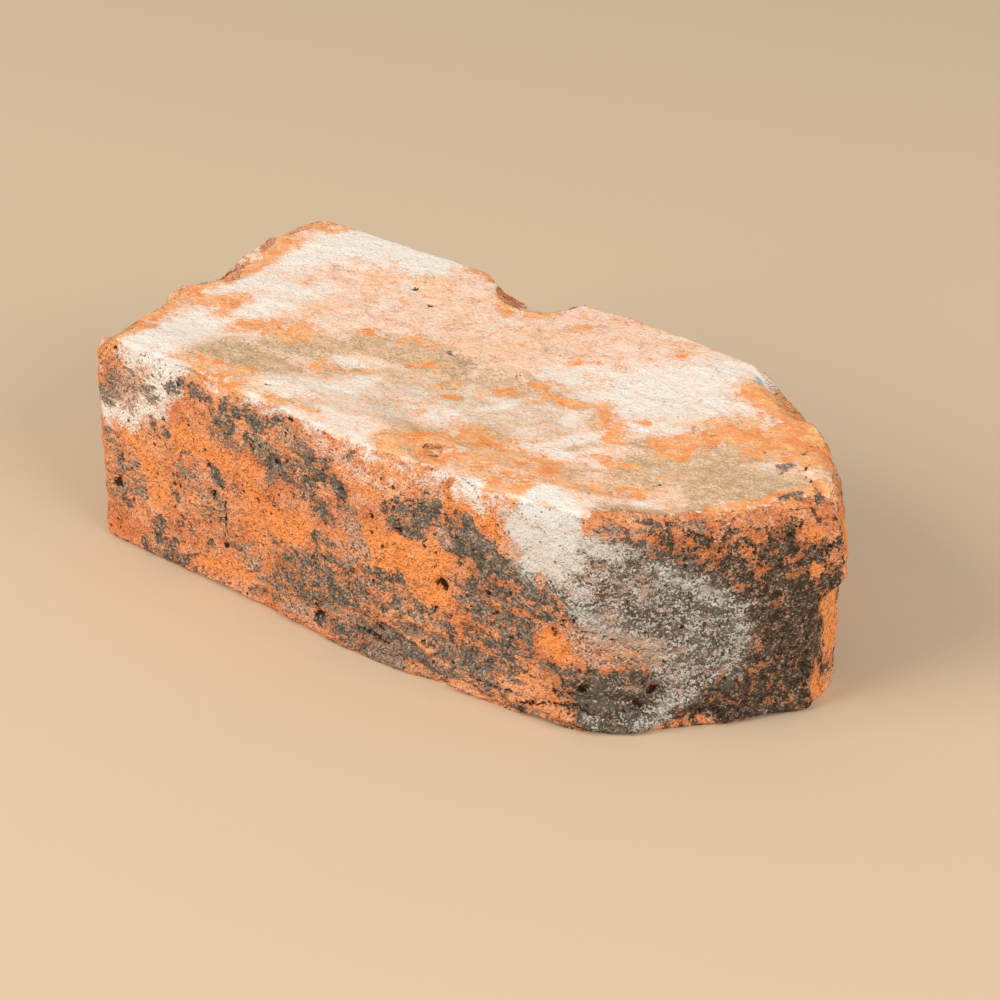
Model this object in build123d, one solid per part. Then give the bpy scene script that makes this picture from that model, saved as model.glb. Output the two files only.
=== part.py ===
"""An old hand-made clay brick with a pointed end, where two cants meet at about a right angle.

In the row frame +X runs from the square header to the point, +Y from the fair stretcher
face to the back one, and +Z is up. The origin is the middle of the bottom of the brick's
bounding box. While it is built, the fair stretcher lies along Y = 0 and the header along
X = 0, and the finished brick is moved to the row frame at the end.

The brick is fired as one piece, so it is one solid. It starts as its plan, drawn with
bellied sides and pulled up to its height. Its arrises are eased and its upper bed is
struck, and then what the kiln and handling did to it is cut away: breaks, wear, folds and
pits.
"""

import os
from math import cos, radians, sin, sqrt, tan

from build123d import *

# Overall size, in millimetres
length = 230.5  # header face to the point
width = 104.5  # fair stretcher to back stretcher
height = 68.5  # bed to bed

# The pointed end
front_cant_run = 51.5  # how far back from the point the front cant reaches along the length
back_cant_run = 56.5  # the same for the back cant
point_offset = 59.0  # the point's distance from the fair stretcher
header_skew = 2.4  # how much further out the header's back corner stands than its fair one

# How far each face stands proud of the straight line between its corners
front_belly = 5.6
back_belly = 2.9
front_cant_belly = 4.0
back_cant_belly = 2.0
header_belly = 1.2

# Corner and arris sizes, where a corner's radius is larger than that of the upper arris
header_corner_radius = 5.8
front_cant_corner_radius = 9.5
point_radius = 5.3
back_cant_corner_radius = 6.8
upper_arris_radius = 3.6
lower_arris_chamfer = 1.5

# The upper bed's hollow, left by striking it off along the length
hollow_depth = 1.4
hollow_margin = 9.0  # how far inside the stretchers the hollow starts

# The point's arris has come away below a nose, which is worn back above
spall_height = 35.0
spall_setback = 8.0  # measured square to the broken face, from the point
spall_turn = 100.0  # degrees between the broken face and the length, seen from above
spall_lean = 48.0  # degrees by which the nose's underside climbs as it leaves the brick
nose_height = 47.0
nose_setback = 2.6  # how far the worn face above the nose stands back from the point at the nose's level
nose_turn = 120.0  # the same angle as spall_turn, for that face
nose_lean = 11.0  # degrees by which it leans back

# Folds in the clay, pressed into grooves that run out at both ends
fold_depth = 1.0
fold_width = 1.8

# Pits left by burnt-out grit
pit_depth_share = 0.9  # a pit's depth, as a share of its radius
pit_taper = 30.0  # degrees by which its sides lean in
pit_sides = 7  # an angular pit, as the grit left it

# How far cutting tools run past the brick
overrun = 20.0

# Breaks in the arrises: side, share along it, bed, half length, reach over the bed, drop down the face
breaks = [
    ("back", 0.48, "upper", 14.5, 17.0, 6.0),
    ("header", 0.1, "upper", 15.0, 8.0, 3.6),
    ("header", 0.3, "upper", 17.0, 8.0, 3.6),
    ("header", 0.49, "upper", 14.0, 9.5, 5.0),
    ("header", 0.72, "upper", 18.0, 9.5, 3.8),
    ("header", 0.93, "upper", 15.0, 9.0, 4.6),
    ("back_cant", 0.28, "upper", 15.0, 6.0, 2.4),
    ("back_cant", 0.74, "upper", 17.0, 7.0, 3.0),
    ("front", 0.29, "lower", 14.0, 6.0, 1.6),
    ("front", 0.94, "lower", 9.0, 6.0, 2.4),
    ("front_cant", 0.68, "lower", 9.0, 5.0, 1.6),
    ("front_cant", 0.95, "lower", 9.0, 6.0, 3.4),
    ("header", 0.6, "lower", 16.0, 5.0, 4.0),
    ("back", 0.2, "lower", 18.0, 6.0, 4.0),
]

# Folds: side, then the stations they pass, as shares of the side and of the height
folds = [
    ("front", [(0.46, 0.15), (0.5, 0.185), (0.56, 0.195), (0.61, 0.175), (0.66, 0.12)]),
    ("front", [(0.7, 0.115), (0.76, 0.14), (0.82, 0.12), (0.88, 0.125)]),
    ("front", [(0.895, 0.09), (0.93, 0.115), (0.965, 0.14)]),
    ("front_cant", [(0.075, 0.48), (0.14, 0.45), (0.22, 0.4)]),
]

# Pits: side, share along it, share of the height, radius
face_pits = [
    ("front", 0.749, 0.46, 2.0),
    ("front", 0.854, 0.46, 1.5),
    ("front", 0.962, 0.48, 1.6),
    ("front", 0.886, 0.37, 1.2),
    ("front", 0.44, 0.965, 1.6),
    ("front", 0.06, 0.31, 2.2),
    ("front", 0.274, 0.48, 1.3),
    ("front", 0.292, 0.235, 1.3),
    ("front", 0.49, 0.085, 1.5),
    ("front_cant", 0.03, 0.23, 2.2),
    ("front_cant", 0.29, 0.175, 1.3),
    ("back", 0.3, 0.6, 1.8),
    ("back_cant", 0.5, 0.35, 1.6),
    ("header", 0.4, 0.4, 1.8),
]

# Pits in the upper bed: shares of the length and of the width, radius
bed_pits = [
    (0.25, 0.785, 1.2),
    (0.296, 0.735, 1.0),
    (0.925, 0.575, 1.6),
    (0.535, 0.08, 1.8),
]


class Side:
    """One upright face seen from above: the chord between its corners, and its belly outside that chord."""

    def __init__(self, start, end, belly, shape):
        self.start = Vector(*start)
        self.end = Vector(*end)
        along = self.end - self.start
        self.along = along.normalized()
        self.outward = Vector(along.Y, -along.X).normalized()
        inner = [self.start + along * share + self.outward * (belly * rise) for share, rise in shape]
        self.curve = Spline(self.start, *inner, self.end)

    def surface(self, share, level):
        """The point on the face at a share of its length and at a level above the lower bed."""
        at = self.curve @ share
        return Vector(at.X, at.Y, level)


def corners():
    """The plan's five corners, anticlockwise from the header's fair corner."""
    return [
        (0, 0),
        (length - front_cant_run, 0),
        (length, point_offset),
        (length - back_cant_run, width),
        (-header_skew, width),
    ]


def make_sides():
    """The five faces. Each pair of a shape is a share of the face's chord and of its belly."""
    header_front, cant_front, point, cant_back, header_back = corners()
    front_shape = [(0.12, 0.3), (0.26, 0.38), (0.4, 0.6), (0.56, 1.0), (0.75, 0.72), (0.9, 0.5)]
    front_cant_shape = [(0.15, 0.8), (0.32, 1.0), (0.6, 0.95), (0.85, 0.4)]
    back_cant_shape = [(0.3, 0.5), (0.6, 1.0)]
    back_shape = [(0.12, 0.75), (0.35, 1.0), (0.62, 0.5), (0.85, 0.2)]
    header_shape = [(0.1, 0.6), (0.27, 1.0), (0.46, 0.2), (0.62, 1.0), (0.85, 0.1)]
    return {
        "front": Side(header_front, cant_front, front_belly, front_shape),
        "front_cant": Side(cant_front, point, front_cant_belly, front_cant_shape),
        "back_cant": Side(point, cant_back, back_cant_belly, back_cant_shape),
        "back": Side(cant_back, header_back, back_belly, back_shape),
        "header": Side(header_back, header_front, header_belly, header_shape),
    }


def rounded_brick(sides):
    """The plan pulled up to the brick's height, with its corners and upper arris rounded and its lower one chamfered."""
    plan = make_face([side.curve for side in sides.values()])
    body = extrude(plan, height)
    radii = [
        header_corner_radius,
        front_cant_corner_radius,
        point_radius,
        back_cant_corner_radius,
        header_corner_radius,
    ]
    for corner, radius in zip(corners(), radii):
        upright = body.edges().filter_by(Axis.Z).sort_by_distance(Vector(*corner, height / 2))[0]
        body = fillet(upright, radius)
    body = fillet(body.faces().sort_by(Axis.Z)[-1].edges(), upper_arris_radius)
    return chamfer(body.faces().sort_by(Axis.Z)[0].edges(), lower_arris_chamfer)


def bed_hollow():
    """The clay struck out of the upper bed: a shallow section drawn across the width, run along the length."""
    floor = height - hollow_depth
    near = hollow_margin
    far = width - hollow_margin
    middle = (near + far) / 2
    lift = overrun
    section = [
        Spline(
            (0, near, height + hollow_depth / 4),
            (0, near + (middle - near) * 0.35, floor),
            (0, middle, floor + hollow_depth * 0.2),
            (0, far - (far - middle) * 0.4, height - hollow_depth * 0.6),
            (0, far, height + hollow_depth / 4),
        ),
        Polyline(
            (0, far, height + hollow_depth / 4),
            (0, far, height + lift),
            (0, near, height + lift),
            (0, near, height + hollow_depth / 4),
        ),
    ]
    waste = extrude(make_face(section), length + 2 * overrun, dir=(1, 0, 0))
    return Pos(-overrun, 0, 0) * waste


def arris_break(side, share, bed, half_length, reach, drop):
    """The ball that breaks an arris: it passes the break's two ends, its rim on the bed and its foot on the face."""
    upward = 1 if bed == "upper" else -1
    level = height if bed == "upper" else 0
    out = (half_length**2 - reach**2) / (2 * reach)
    rise = (half_length**2 - drop**2) / (2 * drop)
    radius = sqrt(half_length**2 + out**2 + rise**2)
    centre = side.surface(share, level) + side.outward * out + Vector(0, 0, upward * rise)
    return Pos(centre) * Sphere(radius)


def inward_from_point(turn, distance):
    """The way into the brick from the point, square to a face that is turned this far from the length."""
    facing = radians(turn - 90)
    return Vector(-cos(facing), -sin(facing), 0) * distance


def point_spall():
    """The wedge lost from the point's arris, with a sloping underside to the nose that is left above it."""
    size = width
    broken = Box(size, 2 * size, spall_height, align=(Align.MIN, Align.CENTER, Align.MAX))
    roof = Box(2 * size, 3 * size, size, align=(Align.CENTER, Align.CENTER, Align.MIN))
    under = Box(size, 2 * size, size, align=(Align.MIN, Align.CENTER, Align.MIN)) - Rot(0, -spall_lean, 0) * roof
    root = Vector(length, point_offset, spall_height) + inward_from_point(spall_turn, spall_setback)
    return Pos(root) * Rot(0, 0, spall_turn - 90) * (broken + under)


def nose_wear():
    """What is worn off the point above its nose: all that lies outside a face that leans back."""
    worn = Box(width, width, 2 * width, align=(Align.MIN, Align.CENTER, Align.CENTER))
    root = Vector(length, point_offset, nose_height) + inward_from_point(nose_turn, nose_setback)
    return Pos(root) * Rot(0, 0, nose_turn - 90) * Rot(0, -nose_lean, 0) * worn


def fold(side, stations):
    """A V-shaped groove swept along its stations, lifted by its own depth at both ends."""
    points = [side.surface(share, level * height) for share, level in stations]
    points[0] += side.outward * fold_depth
    points[-1] += side.outward * fold_depth
    path = Spline(*points)
    section = Polygon((-fold_depth, 0), (fold_depth, -fold_width), (fold_depth, fold_width), align=None)
    return sweep(Plane(path @ 0, x_dir=side.outward, z_dir=path % 0) * section, path=path)


def pit(at, outward, radius):
    """An angular plug that narrows inwards to the pit's floor, and has the pit's radius at the surface."""
    depth = radius * pit_depth_share
    mouth = RegularPolygon(radius + depth * tan(radians(pit_taper)), pit_sides)
    plug = extrude(mouth, 2 * depth, taper=pit_taper)
    return Plane(at + outward * depth, z_dir=-outward) * plug


def worn_brick(sides):
    """The rounded brick with its hollow, breaks, worn point, folds and pits cut away."""
    body = rounded_brick(sides)
    body -= bed_hollow()
    for name, share, bed, half_length, reach, drop in breaks:
        body -= arris_break(sides[name], share, bed, half_length, reach, drop)
    body -= nose_wear()
    body -= point_spall()
    for name, stations in folds:
        body -= fold(sides[name], stations)
    for name, share, level, radius in face_pits:
        side = sides[name]
        body -= pit(side.surface(share, level * height), side.outward, radius)
    for along, across, radius in bed_pits:
        body -= pit(Vector(along * length, across * width, height - hollow_depth / 2), Vector(0, 0, 1), radius)
    return body


def main():
    os.makedirs("parts", exist_ok=True)
    body = worn_brick(make_sides())
    box = body.bounding_box()
    middle = box.center()
    body = Pos(-middle.X, -middle.Y, -box.min.Z) * body
    export_step(body, "parts/brick.step")


main()
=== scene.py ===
"""Looks of an old cant brick: its worn skin, its stains, the floor, the light and the camera.

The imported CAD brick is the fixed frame. One closed skin is worked out as grids, laid on the
CAD brick and roughened, and then stained where the photograph shows lime, soot and bare clay.
Stains and marks are given as pixels of the photograph, and each is carried along its line of
sight to the CAD brick. Lengths are in millimetres unless a name ends in _m, and the finished
mesh is in metres.
"""

from __future__ import annotations

import logging
from collections.abc import Sequence
from dataclasses import dataclass, field
from enum import Enum, IntEnum
from math import cos, radians, sin

import bpy
import numpy as np
from mathutils import Matrix, Vector

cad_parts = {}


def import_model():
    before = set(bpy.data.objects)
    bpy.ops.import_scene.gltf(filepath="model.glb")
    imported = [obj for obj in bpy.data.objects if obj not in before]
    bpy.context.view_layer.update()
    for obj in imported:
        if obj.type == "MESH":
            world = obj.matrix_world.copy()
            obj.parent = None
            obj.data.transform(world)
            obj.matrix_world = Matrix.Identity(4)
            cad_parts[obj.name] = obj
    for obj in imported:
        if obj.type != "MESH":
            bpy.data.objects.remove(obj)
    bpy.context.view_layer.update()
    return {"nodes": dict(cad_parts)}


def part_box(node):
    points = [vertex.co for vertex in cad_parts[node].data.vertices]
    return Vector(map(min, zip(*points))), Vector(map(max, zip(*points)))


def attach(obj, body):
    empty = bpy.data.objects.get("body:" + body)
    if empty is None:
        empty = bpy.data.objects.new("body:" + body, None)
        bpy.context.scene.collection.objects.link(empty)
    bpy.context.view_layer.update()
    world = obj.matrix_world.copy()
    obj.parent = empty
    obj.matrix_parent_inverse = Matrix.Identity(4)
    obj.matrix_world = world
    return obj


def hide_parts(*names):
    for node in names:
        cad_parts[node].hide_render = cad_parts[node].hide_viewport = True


LOG = logging.getLogger("cant_brick")
MM = 0.001  # a millimetre in metres
Pixel = tuple[float, float]  # column and row in the photograph
Colour = tuple[float, float, float, float]
Socket = bpy.types.NodeSocket


def srgb(red: float, green: float, blue: float) -> Colour:
    """Turns a colour as it looks on screen into the linear colour that a shader takes.

    Args:
        red, green, blue: the channels, from 0 to 255.

    Returns:
        The linear colour with full alpha.
    """
    screen = np.array([red, green, blue]) / 255
    linear = np.where(screen <= 0.04045, screen / 12.92, ((screen + 0.055) / 1.055) ** 2.4)
    return (*(float(channel) for channel in linear), 1.0)


def direction(azimuth: float, elevation: float) -> Vector:
    """The way from the brick to a lamp or a camera.

    Args:
        azimuth: degrees round from the fair stretcher's side towards the point.
        elevation: degrees up from the floor.

    Returns:
        A unit vector.
    """
    turn, rise = radians(azimuth), radians(elevation)
    return Vector((sin(turn) * cos(rise), -cos(turn) * cos(rise), sin(rise)))


# The photograph's view


@dataclass(frozen=True)
class PhotoView:
    """The camera that took the photograph, fitted to the brick's own edges."""

    azimuth: float = 37.47
    elevation: float = 29.96
    roll: float = 0.27
    distance: float = 1011.6
    aim: tuple[float, float, float] = (-7.2, 10.6, 20.6)
    frame_px: float = 1000.0
    focal_px: float = 3400.0
    sensor_mm: float = 36.0
    nearest_m: float = 0.01
    farthest_m: float = 50.0

    def axes(self) -> tuple[Vector, Vector, Vector]:
        """Finds how the camera is turned, before its roll.

        Returns:
            Its right, up and backward directions.
        """
        turn = radians(self.azimuth)
        back = direction(self.azimuth, self.elevation)
        right = Vector((cos(turn), sin(turn), 0.0))
        return right, back.cross(right), back

    def eye_m(self) -> Vector:
        """Where the camera stands, in metres."""
        return (Vector(self.aim) + self.axes()[2] * self.distance) * MM

    def sight(self, pixel: Pixel) -> Vector:
        """The direction in which the camera sees a pixel.

        Args:
            pixel: column and row in the photograph.

        Returns:
            A unit vector, away from the camera.
        """
        right, up, back = self.axes()
        across = (pixel[0] - self.frame_px / 2) / self.focal_px
        above = (self.frame_px / 2 - pixel[1]) / self.focal_px
        tilt = radians(-self.roll)
        level = cos(tilt) * across - sin(tilt) * above
        lifted = sin(tilt) * across + cos(tilt) * above
        return (right * level + up * lifted - back).normalized()

    def landing(self, target: bpy.types.Object, pixel: Pixel) -> np.ndarray | None:
        """Where a pixel's sight meets an object at the origin, in millimetres, or None."""
        met, point, _, _ = target.ray_cast(self.eye_m(), self.sight(pixel))
        return np.array(point) / MM if met else None

    def place(self) -> bpy.types.Object:
        """Makes the scene's camera.

        Returns:
            The camera's object.
        """
        data = bpy.data.cameras.new("photo_camera")
        data.sensor_width = self.sensor_mm
        data.lens = self.focal_px / self.frame_px * data.sensor_width
        data.clip_start, data.clip_end = self.nearest_m, self.farthest_m
        camera = bpy.data.objects.new("photo_camera", data)
        bpy.context.scene.collection.objects.link(camera)
        right, up, back = self.axes()
        rolled = Matrix.Rotation(radians(self.roll), 3, "Z")
        turned = Matrix((right, up, back)).transposed() @ rolled
        camera.matrix_world = Matrix.Translation(self.eye_m()) @ turned.to_4x4()
        bpy.context.scene.camera = camera
        return camera


# Stains and marks, as they lie in the photograph


class Stain(Enum):
    """What lies on the clay or shows through it. The value is the mesh attribute that holds it.

    BARE is clay that the lime leaves free on the upper bed, and CLEAR is clay that soot and
    dust leave free on the side faces. STREAK is thin dark dust. The charcoal stain is also
    painted shade in a crater and along a few folds and cracks. HOLE isn't brushed on: it is
    painted shade inside pits and cracks.
    """

    LIME = "lime"
    BARE = "bare"
    TAN = "tan"
    SOOT = "soot"
    STREAK = "streak"
    CHARCOAL = "charcoal_and_crease_shade"
    WASH = "wash"
    SALMON = "salmon"
    CLEAR = "clear"
    GLAZE = "glaze"
    HOLE = "hole"


@dataclass(frozen=True)
class Stroke:
    """One patch of a stain, as if brushed along a line of pixels.

    Args:
        path: the pixels that the brush passes.
        reach: how far the patch spreads from the line.
        strength: how sure the patch is, where 1 is solid and 0.5 is half covered.
    """

    path: tuple[Pixel, ...]
    reach: float
    strength: float = 1.0


@dataclass(frozen=True)
class Groove:
    """A crack or a fold pressed into the clay along a line of pixels."""

    path: tuple[Pixel, ...]
    width: float
    depth: float


@dataclass(frozen=True)
class Chip:
    """A piece broken off an arris or a corner near a line of pixels, down to a rough plane."""

    path: tuple[Pixel, ...]
    width: float
    depth: float


@dataclass(frozen=True)
class Dent:
    """A pit, or a pebble where the depth is below zero, at one pixel."""

    at: Pixel
    radius: float
    depth: float


STROKES: dict[Stain, tuple[Stroke, ...]] = {
    Stain.LIME: (
        Stroke(((285, 262), (320, 254), (360, 249), (400, 252), (425, 262)), 9.0, 1.15),
        Stroke(((330, 240), (360, 236), (385, 242)), 5.0, 1.0),
        Stroke(((150, 345), (185, 334), (215, 322)), 8.5, 1.15),
        Stroke(((136, 362), (152, 364), (168, 368), (166, 384), (156, 394)), 5.0, 1.25),
        Stroke(((108, 414), (124, 415), (142, 410), (155, 402)), 4.6, 1.1),
        Stroke(((126, 384), (138, 380), (148, 374)), 4.0, 0.7),
        Stroke(((234, 288), (262, 284), (284, 296), (262, 308), (238, 318)), 6.0, 0.95),
        Stroke(((205, 325), (240, 313), (290, 304), (330, 292)), 4.5, 0.85),
        Stroke(((204, 386), (222, 394)), 1.6, 0.75),
        Stroke(((244, 398), (258, 402)), 1.9, 0.95),
        Stroke(((262, 406), (284, 410), (300, 418)), 1.8, 0.85),
        Stroke(((296, 412), (312, 422), (332, 430)), 2.3, 0.85),
        Stroke(((330, 424), (352, 436), (372, 450)), 2.2, 0.8),
        Stroke(((376, 452), (392, 458), (402, 466)), 1.3, 0.75),
        Stroke(((300, 408), (340, 418), (372, 432)), 3.5, 0.6),
        Stroke(((258, 384), (300, 396), (330, 410)), 1.6, 0.7),
        Stroke(((432, 477), (442, 481)), 0.9, 0.6),
        Stroke(((454, 490), (458, 503)), 1.5, 1.05),
        Stroke(((464, 482), (478, 488), (472, 496)), 2.4, 1.3),
        Stroke(((486, 491), (498, 493)), 1.3, 1.25),
        Stroke(((432, 474), (444, 480)), 1.4, 0.8),
        Stroke(((528, 499), (534, 490), (548, 494), (560, 501), (571, 509)), 2.9, 1.7),
        Stroke(((578, 504), (592, 506)), 1.4, 0.75),
        Stroke(((530, 450), (560, 452), (588, 458)), 2.0, 0.7),
        Stroke(((590, 465), (604, 467)), 1.6, 0.85),
        Stroke(((476, 510), (481, 513)), 1.1, 0.75),
        Stroke(((610, 402), (650, 386), (700, 375), (745, 370)), 11.0, 1.0),
        Stroke(((640, 408), (690, 402), (728, 396)), 8.5, 1.0),
        Stroke(((628, 424), (660, 430)), 5.0, 0.85),
        Stroke(((690, 335), (730, 350), (764, 368), (768, 380)), 4.5, 1.0),
        Stroke(((560, 372), (600, 374)), 7.0, 0.7),
        Stroke(((634, 502), (645, 501), (656, 503)), 1.5, 2.0),
        Stroke(((545, 450), (570, 440), (598, 436)), 2.8, 0.85),
        Stroke(((556, 458), (590, 451)), 2.6, 0.75),
        Stroke(((470, 414), (486, 411), (510, 404)), 2.4, 0.8),
        Stroke(((285, 384), (320, 392), (352, 388)), 7.0, 0.72),
        Stroke(((345, 366), (372, 366)), 4.0, 0.75),
        Stroke(((425, 420), (470, 410)), 3.0, 0.7),
        Stroke(((370, 400), (430, 408), (500, 412), (560, 420)), 13.0, 0.3),
        Stroke(((576, 408), (566, 424)), 2.4, 0.7),
        Stroke(((765, 426), (776, 432)), 2.4, 0.8),
        Stroke(((804, 464), (822, 470)), 1.8, 0.6),
        Stroke(((102, 357), (116, 355)), 1.3, 0.8),
        Stroke(((97, 366), (100, 372)), 1.2, 0.8),
        Stroke(((202, 381), (222, 390)), 1.4, 0.8),
        Stroke(((256, 387), (272, 391), (286, 396)), 1.2, 0.8),
        Stroke(((322, 438), (354, 464), (386, 480), (424, 484)), 7.0, 0.22),
    ),
    Stain.BARE: (
        Stroke(((424, 448), (434, 458)), 3.0, 1.2),
        Stroke(((102, 352), (110, 342), (120, 333), (142, 325), (160, 311)), 4.2, 1.0),
        Stroke(((165, 307), (190, 295), (212, 285), (230, 279)), 3.8, 1.0),
        Stroke(((240, 272), (262, 258), (280, 246), (284, 240)), 4.2, 1.0),
        Stroke(((284, 236), (300, 230), (318, 225), (342, 228)), 3.4, 1.0),
        Stroke(((198, 303), (214, 306), (236, 306), (222, 316)), 4.2, 0.95),
        Stroke(((132, 334), (150, 330)), 3.0, 0.9),
        Stroke(((244, 328), (272, 326), (304, 335)), 4.6, 0.85),
        Stroke(((182, 362), (208, 366), (236, 374)), 4.2, 0.8),
        Stroke(((190, 378), (232, 386)), 2.6, 0.8),
        Stroke(((262, 397), (300, 408), (318, 412)), 1.9, 0.85),
        Stroke(((358, 334), (384, 337)), 2.8, 0.75),
        Stroke(((408, 340), (428, 346)), 3.0, 0.8),
        Stroke(((418, 365), (432, 367)), 2.4, 0.75),
        Stroke(((318, 366), (330, 372)), 3.0, 0.65),
        Stroke(((350, 374), (362, 376)), 1.8, 0.7),
        Stroke(((444, 384), (456, 386)), 1.8, 0.75),
        Stroke(((446, 398), (456, 398)), 1.6, 0.7),
        Stroke(((395, 443), (430, 440), (470, 434), (500, 446)), 5.5, 0.9),
        Stroke(((440, 456), (480, 456), (520, 462), (545, 470)), 5.5, 0.9),
        Stroke(((470, 470), (510, 476)), 4.0, 0.75),
        Stroke(((500, 392), (512, 394)), 2.4, 0.8),
        Stroke(((534, 388), (556, 400)), 2.6, 0.9),
        Stroke(((526, 404), (534, 404)), 1.8, 0.75),
        Stroke(((574, 404), (606, 404), (600, 424), (612, 438)), 3.6, 0.95),
        Stroke(((606, 414), (640, 424)), 1.8, 0.85),
        Stroke(((588, 455), (606, 462)), 2.4, 0.7),
        Stroke(((614, 465), (628, 466)), 2.4, 0.8),
        Stroke(((576, 488), (600, 489), (640, 492)), 3.2, 0.85),
        Stroke(((538, 472), (552, 480)), 2.6, 0.75),
        Stroke(((668, 446), (700, 440), (730, 430)), 5.0, 1.1),
        Stroke(((735, 432), (765, 440), (800, 430)), 6.5, 1.2),
        Stroke(((764, 390), (784, 402), (804, 420), (818, 448)), 8.5, 1.3),
        Stroke(((760, 454), (790, 452), (815, 456)), 4.0, 0.9),
        Stroke(((708, 508), (740, 503), (776, 497), (806, 489), (834, 481)), 3.0, 0.95),
        Stroke(((494, 484), (510, 485), (526, 488)), 2.6, 1.1),
        Stroke(((468, 270), (488, 275), (500, 290), (500, 310)), 2.6, 0.85),
        Stroke(((602, 308), (650, 322), (690, 339)), 1.5, 0.85),
        Stroke(((578, 326), (592, 326)), 1.8, 0.75),
        Stroke(((572, 362), (600, 360)), 1.4, 0.7),
        Stroke(((640, 348), (655, 353), (685, 350)), 1.3, 0.75),
        Stroke(((520, 312), (540, 316), (560, 308)), 1.6, 0.7),
    ),
    Stain.TAN: (
        Stroke(((276, 344), (316, 350), (350, 346)), 6.0, 0.9),
        Stroke(((200, 348), (234, 352), (262, 364), (284, 374)), 7.0, 0.86),
        Stroke(((376, 350), (420, 358), (452, 366)), 7.0, 0.85),
        Stroke(((436, 392), (468, 400), (500, 420)), 9.0, 0.9),
        Stroke(((380, 398), (400, 420), (420, 432)), 8.0, 0.85),
        Stroke(((300, 404), (350, 412)), 5.0, 0.6),
        Stroke(((505, 402), (540, 420), (566, 446)), 7.0, 0.85),
        Stroke(((470, 440), (500, 432)), 5.0, 0.7),
        Stroke(((640, 468), (700, 474), (762, 480)), 7.5, 1.15),
        Stroke(((690, 494), (740, 490), (790, 484)), 4.5, 0.9),
        Stroke(((700, 454), (756, 458)), 4.5, 0.95),
        Stroke(((640, 446), (660, 455)), 4.0, 0.7),
        Stroke(((590, 508), (650, 508), (700, 505)), 2.4, 0.95),
        Stroke(((560, 470), (585, 476)), 3.5, 0.7),
        Stroke(((580, 390), (560, 380)), 5.0, 0.6),
        Stroke(((356, 378), (430, 388), (500, 394), (560, 412)), 12.0, 0.74),
    ),
    Stain.SOOT: (
        Stroke(((108, 381), (113, 383)), 1.8, 0.8),
        Stroke(((168, 392), (176, 388)), 2.0, 0.8),
        Stroke(((190, 392), (200, 398)), 2.0, 0.9),
        Stroke(((206, 400), (216, 414)), 1.6, 0.8),
        Stroke(((224, 410), (240, 414), (254, 426)), 2.8, 0.95),
        Stroke(((264, 426), (276, 424)), 2.2, 0.85),
        Stroke(((220, 424), (226, 430)), 2.0, 0.8),
        Stroke(((150, 426), (156, 438)), 1.6, 0.8),
        Stroke(((164, 436), (172, 430)), 1.8, 0.75),
        Stroke(((182, 452), (190, 458)), 2.0, 0.85),
        Stroke(((184, 468), (186, 474)), 1.6, 0.75),
        Stroke(((208, 464), (214, 474), (218, 482)), 2.6, 0.95),
        Stroke(((208, 490), (216, 496)), 2.0, 0.9),
        Stroke(((168, 490), (174, 500)), 1.8, 0.7),
        Stroke(((152, 484), (158, 490)), 1.8, 0.7),
        Stroke(((128, 504), (126, 512)), 1.8, 0.75),
        Stroke(((112, 452), (118, 462)), 1.8, 0.65),
        Stroke(((160, 526), (164, 542)), 2.6, 0.85),
        Stroke(((150, 546), (154, 554)), 2.6, 0.9),
        Stroke(((170, 562), (184, 566)), 2.2, 0.9),
        Stroke(((196, 560), (206, 576)), 1.8, 0.85),
        Stroke(((180, 528), (190, 532)), 2.0, 0.65),
        Stroke(((206, 540), (204, 552)), 1.4, 0.7),
        Stroke(((234, 546), (242, 550)), 1.6, 0.8),
        Stroke(((244, 440), (250, 448)), 2.2, 0.75),
        Stroke(((262, 466), (276, 468)), 3.0, 0.85),
        Stroke(((300, 450), (312, 462), (320, 478)), 3.6, 1.0),
        Stroke(((328, 462), (330, 470)), 2.0, 0.8),
        Stroke(((340, 455), (350, 452), (358, 460)), 2.2, 1.0),
        Stroke(((334, 482), (342, 496)), 3.0, 0.9),
        Stroke(((288, 478), (318, 488)), 2.2, 0.8),
        Stroke(((262, 504), (276, 512)), 2.6, 0.8),
        Stroke(((318, 508), (332, 520)), 3.2, 0.95),
        Stroke(((345, 504), (350, 522)), 2.8, 0.8),
        Stroke(((270, 536), (290, 542)), 2.4, 0.75),
        Stroke(((316, 540), (318, 552)), 2.2, 0.85),
        Stroke(((400, 470), (408, 476)), 1.6, 0.9),
        Stroke(((380, 486), (382, 494)), 1.8, 0.8),
        Stroke(((250, 584), (258, 590)), 2.6, 0.9),
        Stroke(((270, 562), (310, 570), (345, 574)), 5.0, 0.48),
        Stroke(((290, 590), (330, 586), (360, 596)), 4.4, 0.48),
        Stroke(((360, 570), (400, 572)), 2.8, 0.8),
        Stroke(((370, 592), (392, 606)), 4.0, 0.48),
        Stroke(((420, 606), (440, 616)), 4.0, 0.48),
        Stroke(((300, 600), (330, 601), (360, 614)), 1.6, 1.05),
        Stroke(((324, 626), (346, 634), (372, 636)), 2.6, 0.95),
        Stroke(((350, 646), (362, 648)), 2.2, 0.85),
        Stroke(((376, 624), (392, 638), (414, 646)), 1.8, 1.05),
        Stroke(((404, 652), (424, 660), (440, 674)), 2.6, 1.05),
        Stroke(((436, 644), (462, 660), (486, 676)), 1.5, 0.95),
        Stroke(((466, 652), (490, 662), (510, 668)), 3.0, 0.8),
        Stroke(((484, 680), (506, 690)), 1.6, 1.1),
        Stroke(((420, 600), (410, 622)), 2.6, 0.6),
        Stroke(((384, 502), (404, 510), (430, 508)), 3.4, 1.0),
        Stroke(((396, 526), (420, 530), (430, 520)), 3.6, 1.0),
        Stroke(((424, 498), (430, 506)), 2.6, 1.05),
        Stroke(((455, 512), (466, 524)), 3.4, 0.9),
        Stroke(((452, 545), (476, 548), (490, 562)), 5.0, 1.15),
        Stroke(((466, 530), (480, 540)), 3.4, 1.0),
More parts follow.
